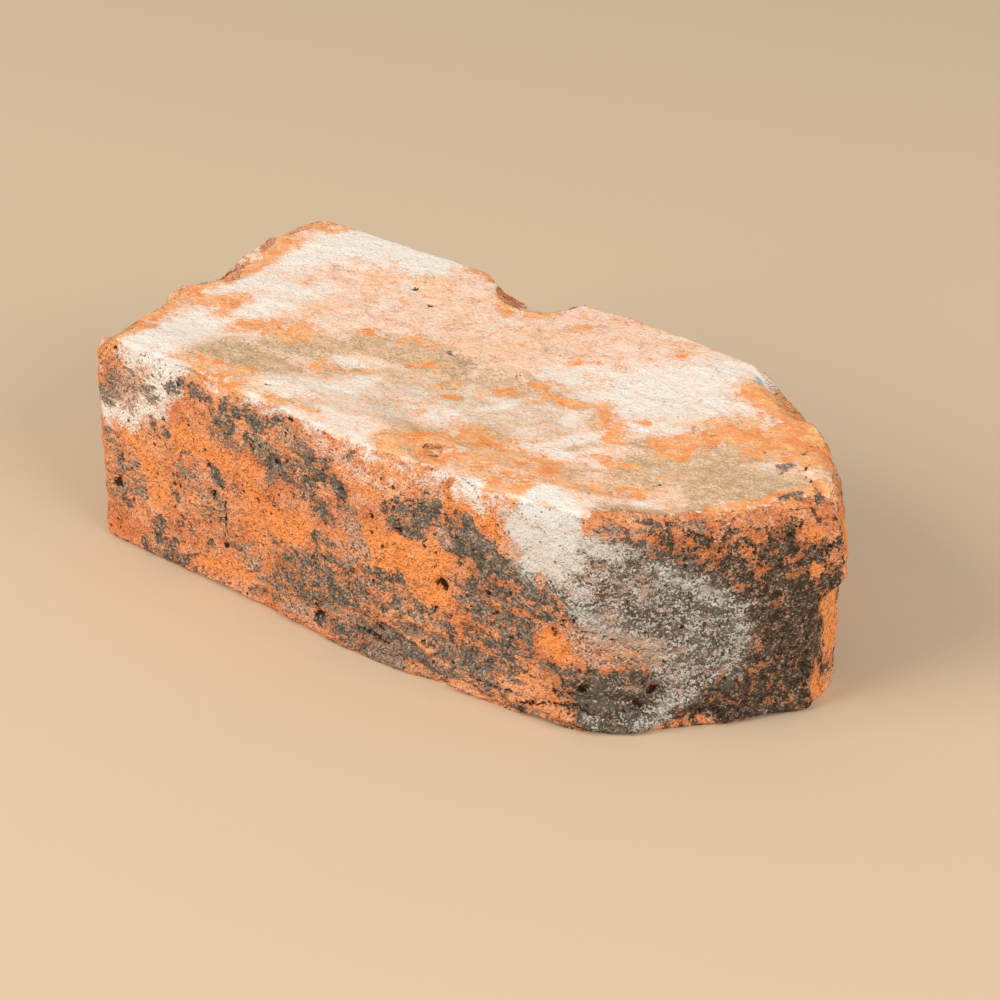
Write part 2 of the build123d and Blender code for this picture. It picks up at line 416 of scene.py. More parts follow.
        Stroke(((480, 572), (500, 572), (524, 570)), 4.2, 1.1),
        Stroke(((500, 585), (530, 596), (548, 606)), 5.0, 0.85),
        Stroke(((470, 584), (484, 596)), 3.6, 0.8),
        Stroke(((510, 610), (530, 630), (524, 646)), 4.4, 0.74),
        Stroke(((556, 590), (568, 594)), 3.2, 0.95),
        Stroke(((548, 612), (556, 608)), 3.0, 0.95),
        Stroke(((476, 612), (486, 626)), 2.8, 0.7),
        Stroke(((440, 580), (450, 570)), 2.2, 0.7),
        Stroke(((506, 644), (512, 658)), 3.0, 0.75),
        Stroke(((552, 668), (572, 672)), 1.6, 1.0),
        Stroke(((556, 690), (564, 698)), 2.4, 0.75),
        Stroke(((488, 560), (470, 570)), 3.0, 0.8),
        Stroke(((460, 632), (500, 640)), 2.4, 0.5),
        Stroke(((689, 431), (696, 428)), 1.3, 1.0),
        Stroke(((710, 435), (716, 433)), 1.2, 0.95),
        Stroke(((778, 496), (796, 492), (806, 497)), 1.5, 1.0),
        Stroke(((820, 486), (825, 495)), 1.5, 0.95),
        Stroke(((640, 521), (652, 519)), 1.5, 0.85),
        Stroke(((802, 450), (812, 440)), 1.2, 0.5),
        Stroke(((446, 352), (462, 366)), 0.9, 0.8),
    ),
    Stain.CHARCOAL: (
        Stroke(((752, 592), (780, 590), (806, 604)), 8.0, 1.2),
        Stroke(((764, 618), (806, 636)), 10.0, 1.2),
        Stroke(((744, 664), (800, 672)), 8.0, 1.1),
        Stroke(((716, 690), (760, 696), (804, 690)), 7.0, 1.05),
        Stroke(((690, 708), (740, 710), (790, 704)), 3.4, 1.3),
        Stroke(((620, 570), (680, 592), (730, 616), (724, 640)), 12.0, 1.25),
        Stroke(((588, 560), (600, 590), (600, 615)), 8.0, 1.05),
        Stroke(((640, 612), (700, 630), (720, 650)), 9.0, 1.25),
        Stroke(((668, 652), (690, 676), (676, 704)), 8.0, 1.1),
        Stroke(((590, 702), (630, 706), (670, 700)), 7.0, 1.3),
        Stroke(((596, 722), (640, 724)), 4.6, 1.3),
        Stroke(((604, 682), (650, 684)), 4.0, 1.0),
        Stroke(((586, 672), (600, 676)), 2.4, 0.9),
        Stroke(((640, 526), (650, 532)), 3.0, 0.95),
        Stroke(((664, 524), (684, 530)), 3.4, 0.95),
        Stroke(((668, 512), (676, 516)), 2.0, 0.8),
        Stroke(((620, 534), (660, 546), (700, 544), (740, 540)), 4.0, 0.62),
        Stroke(((606, 540), (640, 550)), 2.6, 0.72),
        Stroke(((704, 548), (740, 552)), 4.4, 0.58),
        Stroke(((690, 560), (740, 568), (764, 566)), 4.4, 0.7),
        Stroke(((740, 582), (780, 578)), 4.0, 1.05),
        Stroke(((776, 526), (800, 524)), 2.4, 0.95),
        Stroke(((778, 540), (812, 548), (808, 560)), 3.2, 1.05),
        Stroke(((772, 560), (786, 566)), 3.2, 0.95),
        Stroke(((806, 500), (816, 508)), 2.0, 0.95),
        Stroke(((830, 504), (834, 510)), 1.8, 0.95),
        Stroke(((826, 534), (824, 552)), 1.6, 0.85),
        Stroke(((822, 570), (830, 580), (826, 588)), 2.4, 1.0),
        Stroke(((822, 644), (824, 650)), 2.4, 1.0),
        Stroke(((560, 586), (572, 596)), 2.6, 0.9),
        Stroke(((606, 524), (612, 528)), 1.6, 0.8),
        # These last strokes follow the crater, folds and cracks: painted shade in them
        Stroke(((431, 443), (430, 449)), 0.8, 1.1),
        Stroke(((419, 453), (422, 459)), 0.7, 0.8),
        Stroke(((457, 676), (484, 683), (512, 689)), 0.9, 0.9),
        Stroke(((530, 664), (548, 663), (566, 667)), 1.0, 0.9),
        Stroke(((525, 701), (545, 705), (568, 707)), 1.1, 0.72),
        Stroke(((504, 703), (524, 711), (545, 720)), 1.3, 1.05),
        Stroke(((572, 681), (590, 688)), 1.8, 1.1),
    ),
    Stain.WASH: (
        Stroke(((531, 490), (546, 493), (556, 505)), 4.6, 1.25),
        Stroke(((528, 506), (546, 512), (550, 526)), 4.2, 1.45),
        Stroke(((560, 508), (580, 521)), 2.4, 1.1),
        Stroke(((516, 528), (540, 540), (566, 534)), 5.5, 1.35),
        Stroke(((528, 556), (556, 566), (576, 558)), 5.5, 1.1),
        Stroke(((574, 532), (600, 546), (632, 556)), 3.6, 1.0),
        Stroke(((640, 560), (676, 576), (704, 592), (730, 604)), 4.0, 0.82),
        Stroke(((736, 606), (744, 624), (738, 650)), 3.4, 0.8),
        Stroke(((560, 578), (584, 590)), 4.0, 0.9),
        Stroke(((600, 574), (650, 592), (700, 612)), 11.0, 0.5),
        Stroke(((620, 612), (660, 624), (720, 632)), 9.0, 0.66),
        Stroke(((582, 608), (600, 622), (614, 630)), 3.6, 0.85),
        Stroke(((664, 640), (700, 650), (722, 656)), 7.0, 0.66),
        Stroke(((668, 668), (692, 674), (682, 694)), 5.0, 0.8),
        Stroke(((668, 700), (662, 716), (646, 722)), 4.0, 0.85),
        Stroke(((598, 690), (628, 700), (620, 720)), 8.0, 0.24),
        Stroke(((586, 720), (604, 724)), 2.4, 0.4),
        Stroke(((752, 600), (758, 604)), 2.0, 0.7),
    ),
    Stain.SALMON: (
        Stroke(((402, 494),), 1.7, 1.3),
        Stroke(((438, 538), (443, 543)), 1.9, 1.2),
        Stroke(((588, 640), (620, 644), (652, 650)), 4.6, 1.15),
        Stroke(((590, 658), (630, 662), (650, 658)), 2.6, 1.0),
        Stroke(((588, 566), (612, 576), (640, 588)), 5.0, 0.5),
        Stroke(((614, 610), (618, 618)), 2.2, 0.7),
        Stroke(((346, 522), (356, 548), (344, 556)), 4.0, 0.85),
        Stroke(((196, 470), (200, 490)), 3.4, 0.55),
        Stroke(((240, 560), (256, 556)), 3.0, 0.55),
        Stroke(((290, 610), (306, 612)), 2.8, 0.8),
        Stroke(((280, 440), (300, 446)), 3.5, 0.6),
        Stroke(((120, 388), (134, 394), (128, 404)), 4.0, 0.95),
    ),
    Stain.STREAK: (
        Stroke(((107, 381), (114, 384), (108, 402)), 3.8, 1.15),
        Stroke(((782, 470), (798, 465)), 1.8, 0.8),
        Stroke(((128, 462), (140, 490)), 6.0, 0.5),
        Stroke(((108, 440), (114, 470), (118, 500)), 3.6, 0.5),
        Stroke(((172, 556), (214, 588), (240, 596)), 4.0, 0.55),
        Stroke(((224, 436), (262, 462), (300, 480)), 6.0, 0.5),
        Stroke(((190, 486), (214, 510), (232, 540)), 5.0, 0.44),
        Stroke(((124, 377), (132, 381)), 2.0, 0.9),
        Stroke(((146, 393), (153, 399)), 2.6, 0.95),
        Stroke(((600, 528), (640, 522), (700, 520)), 2.6, 0.45),
        Stroke(((700, 526), (750, 520)), 2.4, 0.45),
        Stroke(((262, 556), (300, 572), (340, 588)), 7.0, 0.6),
        Stroke(((320, 560), (360, 574), (400, 596)), 6.0, 0.5),
        Stroke(((280, 590), (330, 604), (366, 626)), 5.0, 0.7),
        Stroke(((360, 590), (400, 614), (440, 636)), 6.0, 0.52),
        Stroke(((366, 630), (404, 652), (440, 668)), 5.0, 0.78),
        Stroke(((420, 640), (470, 662), (512, 680)), 5.0, 0.6),
        Stroke(((340, 636), (372, 650), (392, 660)), 4.0, 0.8),
        Stroke(((470, 600), (500, 622), (516, 650)), 6.0, 0.52),
        Stroke(((456, 668), (490, 684), (520, 694)), 3.6, 0.62),
        Stroke(((520, 708), (552, 718), (580, 724)), 3.0, 0.6),
        Stroke(((546, 668), (574, 672)), 2.4, 0.8),
        Stroke(((524, 684), (544, 694), (564, 704)), 4.0, 0.4),
    ),
    Stain.CLEAR: (
        Stroke(((840, 497), (846, 520), (848, 545), (842, 572)), 2.0, 1.2),
        Stroke(((818, 596), (826, 610), (830, 630)), 1.1, 1.4),
        Stroke(((832, 592), (834, 640), (834, 686)), 3.0, 1.7),
        Stroke(((817, 674), (824, 688)), 3.0, 1.6),
        Stroke(((764, 513), (790, 507), (826, 496)), 1.6, 0.5),
        Stroke(((808, 526), (820, 531)), 1.9, 1.1),
        Stroke(((812, 562), (816, 570)), 1.5, 1.0),
        Stroke(((577, 520), (590, 521)), 1.8, 1.0),
        Stroke(((480, 520), (500, 528), (522, 520)), 2.4, 1.0),
        Stroke(((404, 548), (430, 575), (446, 600)), 2.6, 0.9),
        Stroke(((130, 430), (150, 470), (160, 500)), 5.0, 0.7),
        Stroke(((250, 470), (256, 520), (262, 556)), 4.0, 0.6),
        Stroke(((350, 545), (400, 555), (430, 560)), 5.0, 1.0),
        Stroke(((360, 530), (380, 540)), 3.5, 0.9),
        Stroke(((420, 585), (440, 596)), 3.0, 0.9),
        Stroke(((450, 505), (500, 510), (516, 505)), 3.5, 1.0),
        Stroke(((550, 640), (565, 652)), 4.5, 0.75),
        Stroke(((530, 690), (560, 712)), 4.0, 0.3),
        Stroke(((180, 440), (200, 450), (230, 470)), 4.5, 0.8),
        Stroke(((270, 520), (300, 528)), 4.5, 0.9),
        Stroke(((205, 565), (240, 570)), 4.0, 0.75),
        Stroke(((340, 470), (370, 490)), 3.0, 0.85),
        Stroke(((328, 438), (354, 462), (384, 476), (424, 480)), 5.0, 0.5),
    ),
    Stain.GLAZE: (Stroke(((762, 371), (765, 377)), 1.9, 1.2),),
}

GROOVES: tuple[Groove, ...] = (
    Groove(((223, 503), (226, 515), (225, 530), (227, 540)), 0.8, 0.6),
    Groove(((148, 420), (154, 434), (158, 442)), 0.9, 0.6),
    Groove(((560, 621), (576, 621), (580, 630), (600, 634), (616, 640)), 1.2, 0.8),
    Groove(((616, 640), (640, 652), (668, 654), (700, 656)), 1.4, 0.35),
    Groove(((520, 701), (545, 705), (568, 706)), 1.3, 0.8),
    Groove(((320, 601), (345, 608), (370, 621), (385, 640), (420, 655), (450, 662)), 1.2, 0.5),
    Groove(((470, 676), (490, 684), (512, 691)), 1.2, 0.8),
    Groove(((350, 522), (356, 534), (360, 548)), 0.9, 0.45),
    Groove(((372, 562), (402, 570)), 0.9, 0.5),
    Groove(((330, 633), (372, 640), (400, 650)), 1.1, 0.45),
    Groove(((536, 722), (556, 727), (580, 732)), 1.6, 0.9),
    Groove(((518, 312), (538, 318), (556, 308), (574, 305)), 1.2, 0.5),
    Groove(((630, 334), (655, 335), (690, 340)), 1.2, 0.35),
    Groove(((440, 350), (455, 356), (462, 368)), 0.8, 0.45),
    Groove(((266, 299), (280, 300)), 1.0, 0.4),
    Groove(((808, 462), (803, 470), (812, 478)), 1.1, 0.8),
    Groove(((530, 664), (548, 663), (566, 667)), 1.4, 0.55),
    Groove(((504, 703), (524, 711), (545, 720)), 1.8, 0.55),
    Groove(((380, 622), (400, 640), (424, 652)), 1.2, 0.5),
    Groove(((650, 486), (664, 480)), 0.9, 0.6),
    Groove(((788, 503), (800, 502)), 0.9, 0.6),
    Groove(((258, 385), (272, 386)), 0.8, 0.5),
    Groove(((828, 598), (824, 608)), 0.9, 0.5),
    Groove(((820, 676), (826, 686)), 1.1, 0.6),
    Groove(((116, 522), (122, 536)), 1.0, 0.6),
    Groove(((118, 480), (122, 492)), 1.8, 0.9),
)

# The upper arris of the front cant, worn to bare clay where lime and tan don't reach
WORN_ARRIS: tuple[Pixel, ...] = (
    (604, 518), (660, 518), (736, 515), (765, 512), (790, 508), (832, 495),
)

CHIPS: tuple[Chip, ...] = (
    Chip(((426, 452), (433, 455)), 3.8, 2.1),
    Chip(((101, 352), (106, 345)), 9.0, 1.3),
    Chip(((128, 324), (150, 312)), 8.0, 1.2),
    Chip(((232, 272), (244, 265)), 7.0, 2.4),
    Chip(((312, 222), (326, 221)), 7.0, 0.9),
    Chip(((512, 290), (526, 298), (540, 303)), 8.0, 2.8),
    Chip(((772, 380), (786, 391), (798, 404)), 9.0, 2.4),
    Chip(((829, 456), (834, 466)), 6.0, 1.8),
    Chip(((600, 517), (660, 517)), 8.0, 1.5),
    Chip(((680, 516), (736, 512)), 8.0, 1.8),
    Chip(((752, 508), (786, 502)), 8.0, 1.7),
    Chip(((800, 498), (828, 491)), 8.0, 2.0),
    Chip(((835, 690), (826, 698)), 7.0, 1.5),
)

DENTS: tuple[Dent, ...] = (
    Dent((441, 587), 2.7, 1.8),
    Dent((116, 487), 1.7, 1.3),
    Dent((497, 612), 1.6, 1.3),
    Dent((489, 594), 1.2, 0.9),
    Dent((556, 632), 1.5, 1.2),
    Dent((513, 639), 1.1, 0.9),
    Dent((436, 609), 1.2, 0.9),
    Dent((426, 643), 1.2, 0.8),
    Dent((496, 572), 1.0, 0.7),
    Dent((398, 530), 1.2, 0.8),
    Dent((372, 518), 1.2, 0.7),
    Dent((321, 616), 1.6, 1.2),
    Dent((226, 548), 1.5, 1.1),
    Dent((213, 496), 1.4, 0.9),
    Dent((275, 464), 1.4, 0.9),
    Dent((163, 423), 1.0, 0.8),
    Dent((262, 548), 1.0, 0.6),
    Dent((293, 497), 1.0, 0.6),
    Dent((258, 502), 1.0, 0.5),
    Dent((180, 490), 0.9, 0.5),
    Dent((182, 520), 0.9, 0.5),
    Dent((583, 686), 2.4, 1.7),
    Dent((655, 690), 1.6, 1.2),
    Dent((682, 626), 1.1, 0.6),
    Dent((287, 420), 1.8, 1.3),
    Dent((112, 350), 1.3, 0.8),
    Dent((413, 289), 1.6, 1.0),
    Dent((429, 305), 1.3, 0.8),
    Dent((266, 385), 1.0, 0.6),
    Dent((762, 449), 0.9, 0.5),
    Dent((748, 376), 1.6, 0.4),
    Dent((516, 376), 1.1, 0.5),
    Dent((736, 512), 0.9, 0.5),
    Dent((694, 518), 0.9, 0.4),
    Dent((817, 525), 0.8, 0.4),
    Dent((841, 524), 0.8, 0.4),
    Dent((404, 494), 2.4, -0.5),
    Dent((432, 534), 2.6, -0.55),
    Dent((446, 546), 2.2, -0.45),
    Dent((480, 514), 1.8, -0.4),
    Dent((704, 434), 1.2, -0.3),
)


# Noise and distance

WORD = 0xFFFFFFFF
HALF_WORD = 0xFFFF
SEED_OFFSET = 17.31
SEED_FACTOR = 2654435761
AXIS_FACTORS = (73856093, 19349663, 83492791)
MIXING = ((15, 2246822519), (13, 3266489917))


def lattice_noise(points: np.ndarray, size: float, seed: int) -> np.ndarray:
    """Smooth noise: random values at the corners of a lattice of cubes, eased between them.

    Each corner's value comes from mixing its three whole numbers, and a point takes the
    trilinear blend of its cube's eight corners, with the blend weights eased by 3t² − 2t³.

    Args:
        points: places, one row each.
        size: the side of a cube, in the units of the points.
        seed: picks one pattern.

    Returns:
        One value from 0 to 1 for each row.
    """
    scaled = points / size + seed * SEED_OFFSET
    cell = np.floor(scaled).astype(np.int64)
    part = scaled - cell
    ease = part * part * (3 - 2 * part)
    total = np.zeros(len(points))
    for corner in range(8):
        step = np.array([corner & 1, corner >> 1 & 1, corner >> 2 & 1])
        x, y, z = ((cell + step) * np.array(AXIS_FACTORS)).T
        mixed = (x ^ y ^ z ^ seed * SEED_FACTOR) & WORD
        for shift, factor in MIXING:
            mixed = (mixed ^ mixed >> shift) * factor & WORD
        value = ((mixed ^ mixed >> 16) & HALF_WORD) / HALF_WORD
        total += value * np.prod(np.where(step == 1, ease, 1 - ease), axis=1)
    return total


def layered_noise(points: np.ndarray, size: float, layers: int, seed: int) -> np.ndarray:
    """Adds layers of lattice noise, each half as large in size and in weight as the last.

    Args:
        points: places, one row each.
        size: the side of the first layer's cubes.
        layers: how many layers.
        seed: picks the first layer's pattern, and the next layers take the next ones.

    Returns:
        One value from −1 to 1 for each row, about 0 on average.
    """
    total = np.zeros(len(points))
    weight, whole = 1.0, 0.0
    for layer in range(layers):
        total += weight * (lattice_noise(points, size / 2**layer, seed + layer) * 2 - 1)
        whole += weight
        weight /= 2
    return total / whole


def line_distance(points: np.ndarray, line: np.ndarray) -> np.ndarray:
    """The distance from each point to a broken line.

    For each run, the point's shadow on the run is held between its ends, and the distance
    to the shadow is the run's. The least over all runs is the line's.

    Args:
        points: places, one row each.
        line: the line's corners, one row each. One corner alone is a point.

    Returns:
        One distance for each row of the points.
    """
    nearest = np.linalg.norm(points - line[0], axis=1)
    for start, end in zip(line[:-1], line[1:]):
        run = end - start
        share = np.clip((points - start) @ run / max(float(run @ run), 1e-9), 0, 1)
        shadow_gap = np.linalg.norm(points - start - share[:, None] * run, axis=1)
        nearest = np.minimum(nearest, shadow_gap)
    return nearest


def eased(value: np.ndarray, low: float, high: float) -> np.ndarray:
    """Rises from 0 at the low value to 1 at the high one, along 3t² − 2t³."""
    share = np.clip((value - low) / (high - low), 0, 1)
    return share * share * (3 - 2 * share)


def wandered(points: np.ndarray, reach: float, size: float, seed: int) -> np.ndarray:
    """Moves each point by smooth noise, so that what is measured from it is ragged.

    Args:
        points: places, one row each.
        reach: how far a point moves at most along each axis.
        size: how wide the noise is.
        seed: picks one pattern.

    Returns:
        The moved points.
    """
    moves = [layered_noise(points, size, 3, seed + 7 * axis) for axis in range(3)]
    return points + reach * np.stack(moves, axis=1)


def drawn_out(points: np.ndarray, stretch: float) -> np.ndarray:
    """Shrinks places along the length, so that a noise is drawn out along it."""
    return points / np.array([stretch, 1.0, 1.0])


# The skin


def quads_between(index: np.ndarray) -> np.ndarray:
    """Joins a table of point numbers into quads.

    Args:
        index: the point numbers, by row and column.

    Returns:
        One row of four numbers for each quad, anticlockwise where rows run right and columns up.
    """
    corners = [index[:-1, :-1], index[1:, :-1], index[1:, 1:], index[:-1, 1:]]
    return np.stack(corners, axis=-1).reshape(-1, 4)


@dataclass
class Grid:
    """Points and the quads between them."""

    points: np.ndarray
    quads: np.ndarray

    def normals(self) -> np.ndarray:
        """Sums the normals of the quads at each point, each the cross of the quad's diagonals.

        Returns:
            One unit normal for each point.
        """
        corners = self.points[self.quads]
        across = np.cross(corners[:, 2] - corners[:, 0], corners[:, 3] - corners[:, 1])
        total = np.zeros_like(self.points)
        for column in range(4):
            here = self.quads[:, column]
            for axis in range(3):
                total[:, axis] += np.bincount(here, across[:, axis], len(self.points))
        return total / np.maximum(np.linalg.norm(total, axis=1, keepdims=True), 1e-12)

    def evened(self) -> Grid:
        """Moves each point half way to the middle of the points that its quads join it to.

        Returns:
            The evened grid.
        """
        count = len(self.points)
        total = np.zeros_like(self.points)
        joined = np.zeros(count)
        for column in range(4):
            start, end = self.quads[:, column], self.quads[:, (column + 1) % 4]
            for axis in range(3):
                total[:, axis] += np.bincount(start, self.points[end, axis], count)
                total[:, axis] += np.bincount(end, self.points[start, axis], count)
            joined += np.bincount(start, minlength=count) + np.bincount(end, minlength=count)
        return Grid((self.points + total / joined[:, None]) / 2, self.quads)

    def mesh(self, name: str) -> bpy.types.Mesh:
        """Makes a Blender mesh of the grid, in metres and shaded smooth.

        Args:
            name: the mesh's name.

        Returns:
            The mesh.
        """
        mesh = bpy.data.meshes.new(name)
        mesh.vertices.add(len(self.points))
        mesh.vertices.foreach_set("co", (self.points * MM).astype(np.float32).ravel())
        mesh.loops.add(self.quads.size)
        mesh.loops.foreach_set("vertex_index", self.quads.astype(np.int32).ravel())
        mesh.polygons.add(len(self.quads))
        mesh.polygons.foreach_set("loop_start", np.arange(0, self.quads.size, 4, dtype=np.int32))
        mesh.polygons.foreach_set("use_smooth", np.ones(len(self.quads), dtype=bool))
        mesh.update(calc_edges=True)
        mesh.validate()
        return mesh


class Pattern(IntEnum):
    """Tells the skin's noises apart. The value is added to the skin's seed."""

    LUMPS = 0
    GRAIN = 5
    ROUGHNESS = 9
    STRIKE = 13
    FLAKES = 17
    CRUMBLE = 21
    LEAVES = 27
    BROAD = 40
    OTHER = 50
    SMALL = 60
    MARKS = 70
    CHIPS = 75
    DRAWN = 80
    STAINS = 90


@dataclass
class BrickSkin:
    """The brick's whole surface as one closed mesh, laid on the CAD brick and roughened.

    The fields give the CAD brick and its box, then the grid and its plan, then the relief,
    and last the stains. A size is how wide a noise is, and a share is a part of the mark's
    own radius, width or depth.
    """

    node: bpy.types.Object
    view: PhotoView
    low: np.ndarray
    high: np.ndarray
    # The grid
    length_steps: int = 186
    width_steps: int = 136
    height_steps: int = 66
    front_cant_steps: int = 71
    lay_rounds: int = 9
    outset: float = 1.5
    header_skew: float = 2.4
    front_belly: float = 5.6
    back_belly: float = 2.9
    cant_belly: float = 3.0
    front_cant_run: float = 51.5
    back_cant_run: float = 56.5
    point_across: float = 59.0
    # The relief
    lump_depth: float = 0.55
    lump_size: float = 21.0
    grain_depth: float = 0.5
    grain_size: float = 4.2
    roughness_size: float = 26.0
    strike_depth: float = 0.22
    strike_size: float = 2.6
    strike_stretch: float = 4.0
    lamination_depth: float = 1.7
    leaf_size: float = 4.2
    leaf_stretch: float = 8.0
    leaf_fall: float = 0.09
    leaf_shade: float = 3.0
    flake_depth: float = 1.5
    flake_size: float = 6.5
    flake_least: float = 0.12
    crumble_depth: float = 3.6
    crumble_size: float = 9.0
    crumble_more: float = 0.12
    jag_reach: float = 0.9
    jag_size: float = 3.2
    least_groove: float = 1.1
    groove_shade_share: float = 0.3
    shaded_groove_depth: float = 0.55
    pit_floor_share: float = 0.35
    pit_rim_share: float = 1.15
    pit_shade_share: float = 0.7
    shaded_pit_depth: float = 0.45
    chip_core_share: float = 0.7
    chip_rim_share: float = 1.4
    break_size: float = 5.0
    break_share: float = 0.45
    under_share: float = 0.25
    loose_pits: int = 520
    least_pit: float = 0.8
    largest_pit: float = 1.6
    pit_depth_share: float = 0.5
    bed_pit_chance: float = 0.15
    # The stains
    stroke_end: float = 1.5
    stain_reach: float = 3.6
    stain_size: float = 12.0
    broad_size: float = 34.0
    other_size: float = 26.0
    small_size: float = 13.0
    drawn_size: float = 9.0
    drawn_stretch: float = 2.0
    seed: int = 11
    landings: dict[Pixel, np.ndarray | None] = field(default_factory=dict)

    def noise(self, places: np.ndarray, size: float, layers: int, pattern: Pattern) -> np.ndarray:
        """One of the skin's layered noises, from −1 to 1."""
        return layered_noise(places, size, layers, self.seed + pattern)

    def outline(self) -> list[np.ndarray]:
        """Draws the plan a little outside the CAD brick.

        Returns:
            The four sides as rows of points: front, point end, back and header, anticlockwise.
        """
        left, right = self.low[0] - self.outset, self.high[0] + self.outset
        near = self.low[1] + self.front_belly - self.outset
        far = self.high[1] - self.back_belly + self.outset
        left_front = np.array([left + self.header_skew, near])
        front_shoulder = np.array([right - self.front_cant_run, near])
        point = np.array([right, near + self.point_across])
        back_shoulder = np.array([right - self.back_cant_run, far])
        left_back = np.array([left, far])
        back_cant_steps = self.width_steps - self.front_cant_steps
        front = self.bowed(left_front, front_shoulder, self.length_steps, self.front_belly)
        front_cant = self.bowed(front_shoulder, point, self.front_cant_steps, self.cant_belly)
        back_cant = self.bowed(point, back_shoulder, back_cant_steps, self.cant_belly)
        back = self.bowed(back_shoulder, left_back, self.length_steps, self.back_belly)
        header = self.bowed(left_back, left_front, self.width_steps, 0.0)
        return [front, np.concatenate([front_cant[:-1], back_cant]), back, header]

    @staticmethod
    def bowed(start: np.ndarray, end: np.ndarray, steps: int, belly: float) -> np.ndarray:
        """Divides a side into equal steps, and bows it out by belly · 4s(1 − s) at the share s.

        Args:
            start, end: the side's ends in plan, with its outer face on the right of the way.
            steps: how many steps.
            belly: how far its middle stands out.

        Returns:
            The points between the steps, both ends among them.
        """
        share = np.linspace(0, 1, steps + 1)[:, None]
        run = end - start
        outward = np.array([run[1], -run[0]]) / np.linalg.norm(run)
        return start + share * run + belly * 4 * share * (1 - share) * outward

    def closed_grid(self) -> Grid:
        """The straight-sided form that is laid on the CAD brick: a ring of walls and two beds.

        It stands a little outside the CAD brick, so that no row folds over when it is laid.
        The walls are the outline repeated at even heights. Each bed's boundary points are
        the ring's own, so the form is closed.

        Returns:
            The grid, in millimetres, its quads turned outwards.
        """
        sides = self.outline()
        ring = np.concatenate([side[:-1] for side in sides])
        around = len(ring)
        bottom, top = self.low[2] - self.outset, self.high[2] + self.outset
        levels = np.linspace(bottom, top, self.height_steps + 1)
        walls = [np.column_stack([ring, np.full(around, level)]) for level in levels]
        here = np.arange(around)
        after = (here + 1) % around
        rows = np.arange(self.height_steps)[:, None] * around
        above = rows + around
        wall_quads = np.stack([rows + here, rows + after, above + after, above + here], axis=-1)
        inner = self.filled(sides)
        beds = [np.column_stack([inner, np.full(len(inner), level)]) for level in (bottom, top)]
        first = around * len(levels)
        lower = quads_between(self.bed_index(around, first, 0))
        edge = self.height_steps * around
        upper = quads_between(self.bed_index(around, first + len(inner), edge))
        quads = [wall_quads.reshape(-1, 4), lower[:, ::-1], upper]
        return Grid(np.concatenate(walls + beds), np.concatenate(quads))

    def filled(self, sides: list[np.ndarray]) -> np.ndarray:
        """Fills the outline by blending opposite sides, less the blend of the four corners.

        Args:
            sides: front, point end, back and header, anticlockwise.

        Returns:
            The bed's inner points in plan, along the length and then across the width.
        """
        front, end, back, header = sides
        share_x = np.linspace(0, 1, self.length_steps + 1)[:, None, None]
        share_y = np.linspace(0, 1, self.width_steps + 1)[None, :, None]
        rest_x, rest_y = 1 - share_x, 1 - share_y
        blend = rest_y * front[:, None] + share_y * back[::-1][:, None]
        blend = blend + rest_x * header[::-1][None] + share_x * end[None]
        corner_blend = rest_x * (rest_y * front[0] + share_y * back[-1])
        corner_blend = corner_blend + share_x * (rest_y * front[-1] + share_y * back[0])
        return (blend - corner_blend)[1:-1, 1:-1].reshape(-1, 2)

    def bed_index(self, around: int, first: int, edge: int) -> np.ndarray:
        """Numbers a bed's points, its boundary by the ring's numbers.

        Args:
            around: how many points the ring has.
            first: the number of the bed's first inner point.
            edge: the number of the first point of the ring that bounds it.

        Returns:
            A table of point numbers, along the length and then across the width.
        """
        long, wide = self.length_steps, self.width_steps
        inner = np.arange((long - 1) * (wide - 1)).reshape(long - 1, wide - 1)
        index = np.empty((long + 1, wide + 1), dtype=np.int64)
        index[1:-1, 1:-1] = first + inner
        index[:, 0] = np.arange(long + 1)
        index[-1, :] = long + np.arange(wide + 1)
        index[:, -1] = (2 * long + wide) - np.arange(long + 1)
        index[0, :] = (2 * long + 2 * wide - np.arange(wide + 1)) % around
        on_edge = np.zeros_like(index, dtype=bool)
        on_edge[[0, -1], :] = True
        on_edge[:, [0, -1]] = True
        index[on_edge] += edge
        return index

    def laid(self, grid: Grid) -> Grid:
        """Lays the grid on the CAD brick, in rounds.

        Each round evens the grid out, and then moves every point to the nearest place on the
        CAD brick.

        Args:
            grid: the form around the CAD brick.

        Returns:
            The laid grid, with the same quads.
        """
        loose = bpy.data.objects.new("loose_skin", grid.mesh("loose_skin"))
        bpy.context.scene.collection.objects.link(loose)
        wrap = loose.modifiers.new("lay", "SHRINKWRAP")
        wrap.target = self.node
        wrap.wrap_method = "NEAREST_SURFACEPOINT"
        resting = grid
        for _ in range(self.lay_rounds):
            even = (resting.evened().points * MM).astype(np.float32)
            loose.data.vertices.foreach_set("co", even.ravel())
            loose.data.update()
            bpy.context.view_layer.update()
            shown = loose.evaluated_get(bpy.context.evaluated_depsgraph_get())
            places = np.empty(len(grid.points) * 3, dtype=np.float32)
            shown.data.vertices.foreach_get("co", places)
            resting = Grid(places.reshape(-1, 3).astype(float) / MM, grid.quads)
        mesh = loose.data
        bpy.data.objects.remove(loose)
        bpy.data.meshes.remove(mesh)
        return resting

    def on_brick(self, path: Sequence[Pixel]) -> np.ndarray | None:
        """Carries a line of pixels to the CAD brick.

        Args:
            path: the line's pixels.

        Returns:
            The points that land, one row each, or None where none does.
        """
        for pixel in path:
            if pixel not in self.landings:
                self.landings[pixel] = self.view.landing(self.node, pixel)
        landed = [self.landings[pixel] for pixel in path if self.landings[pixel] is not None]
        return np.array(landed) if landed else None

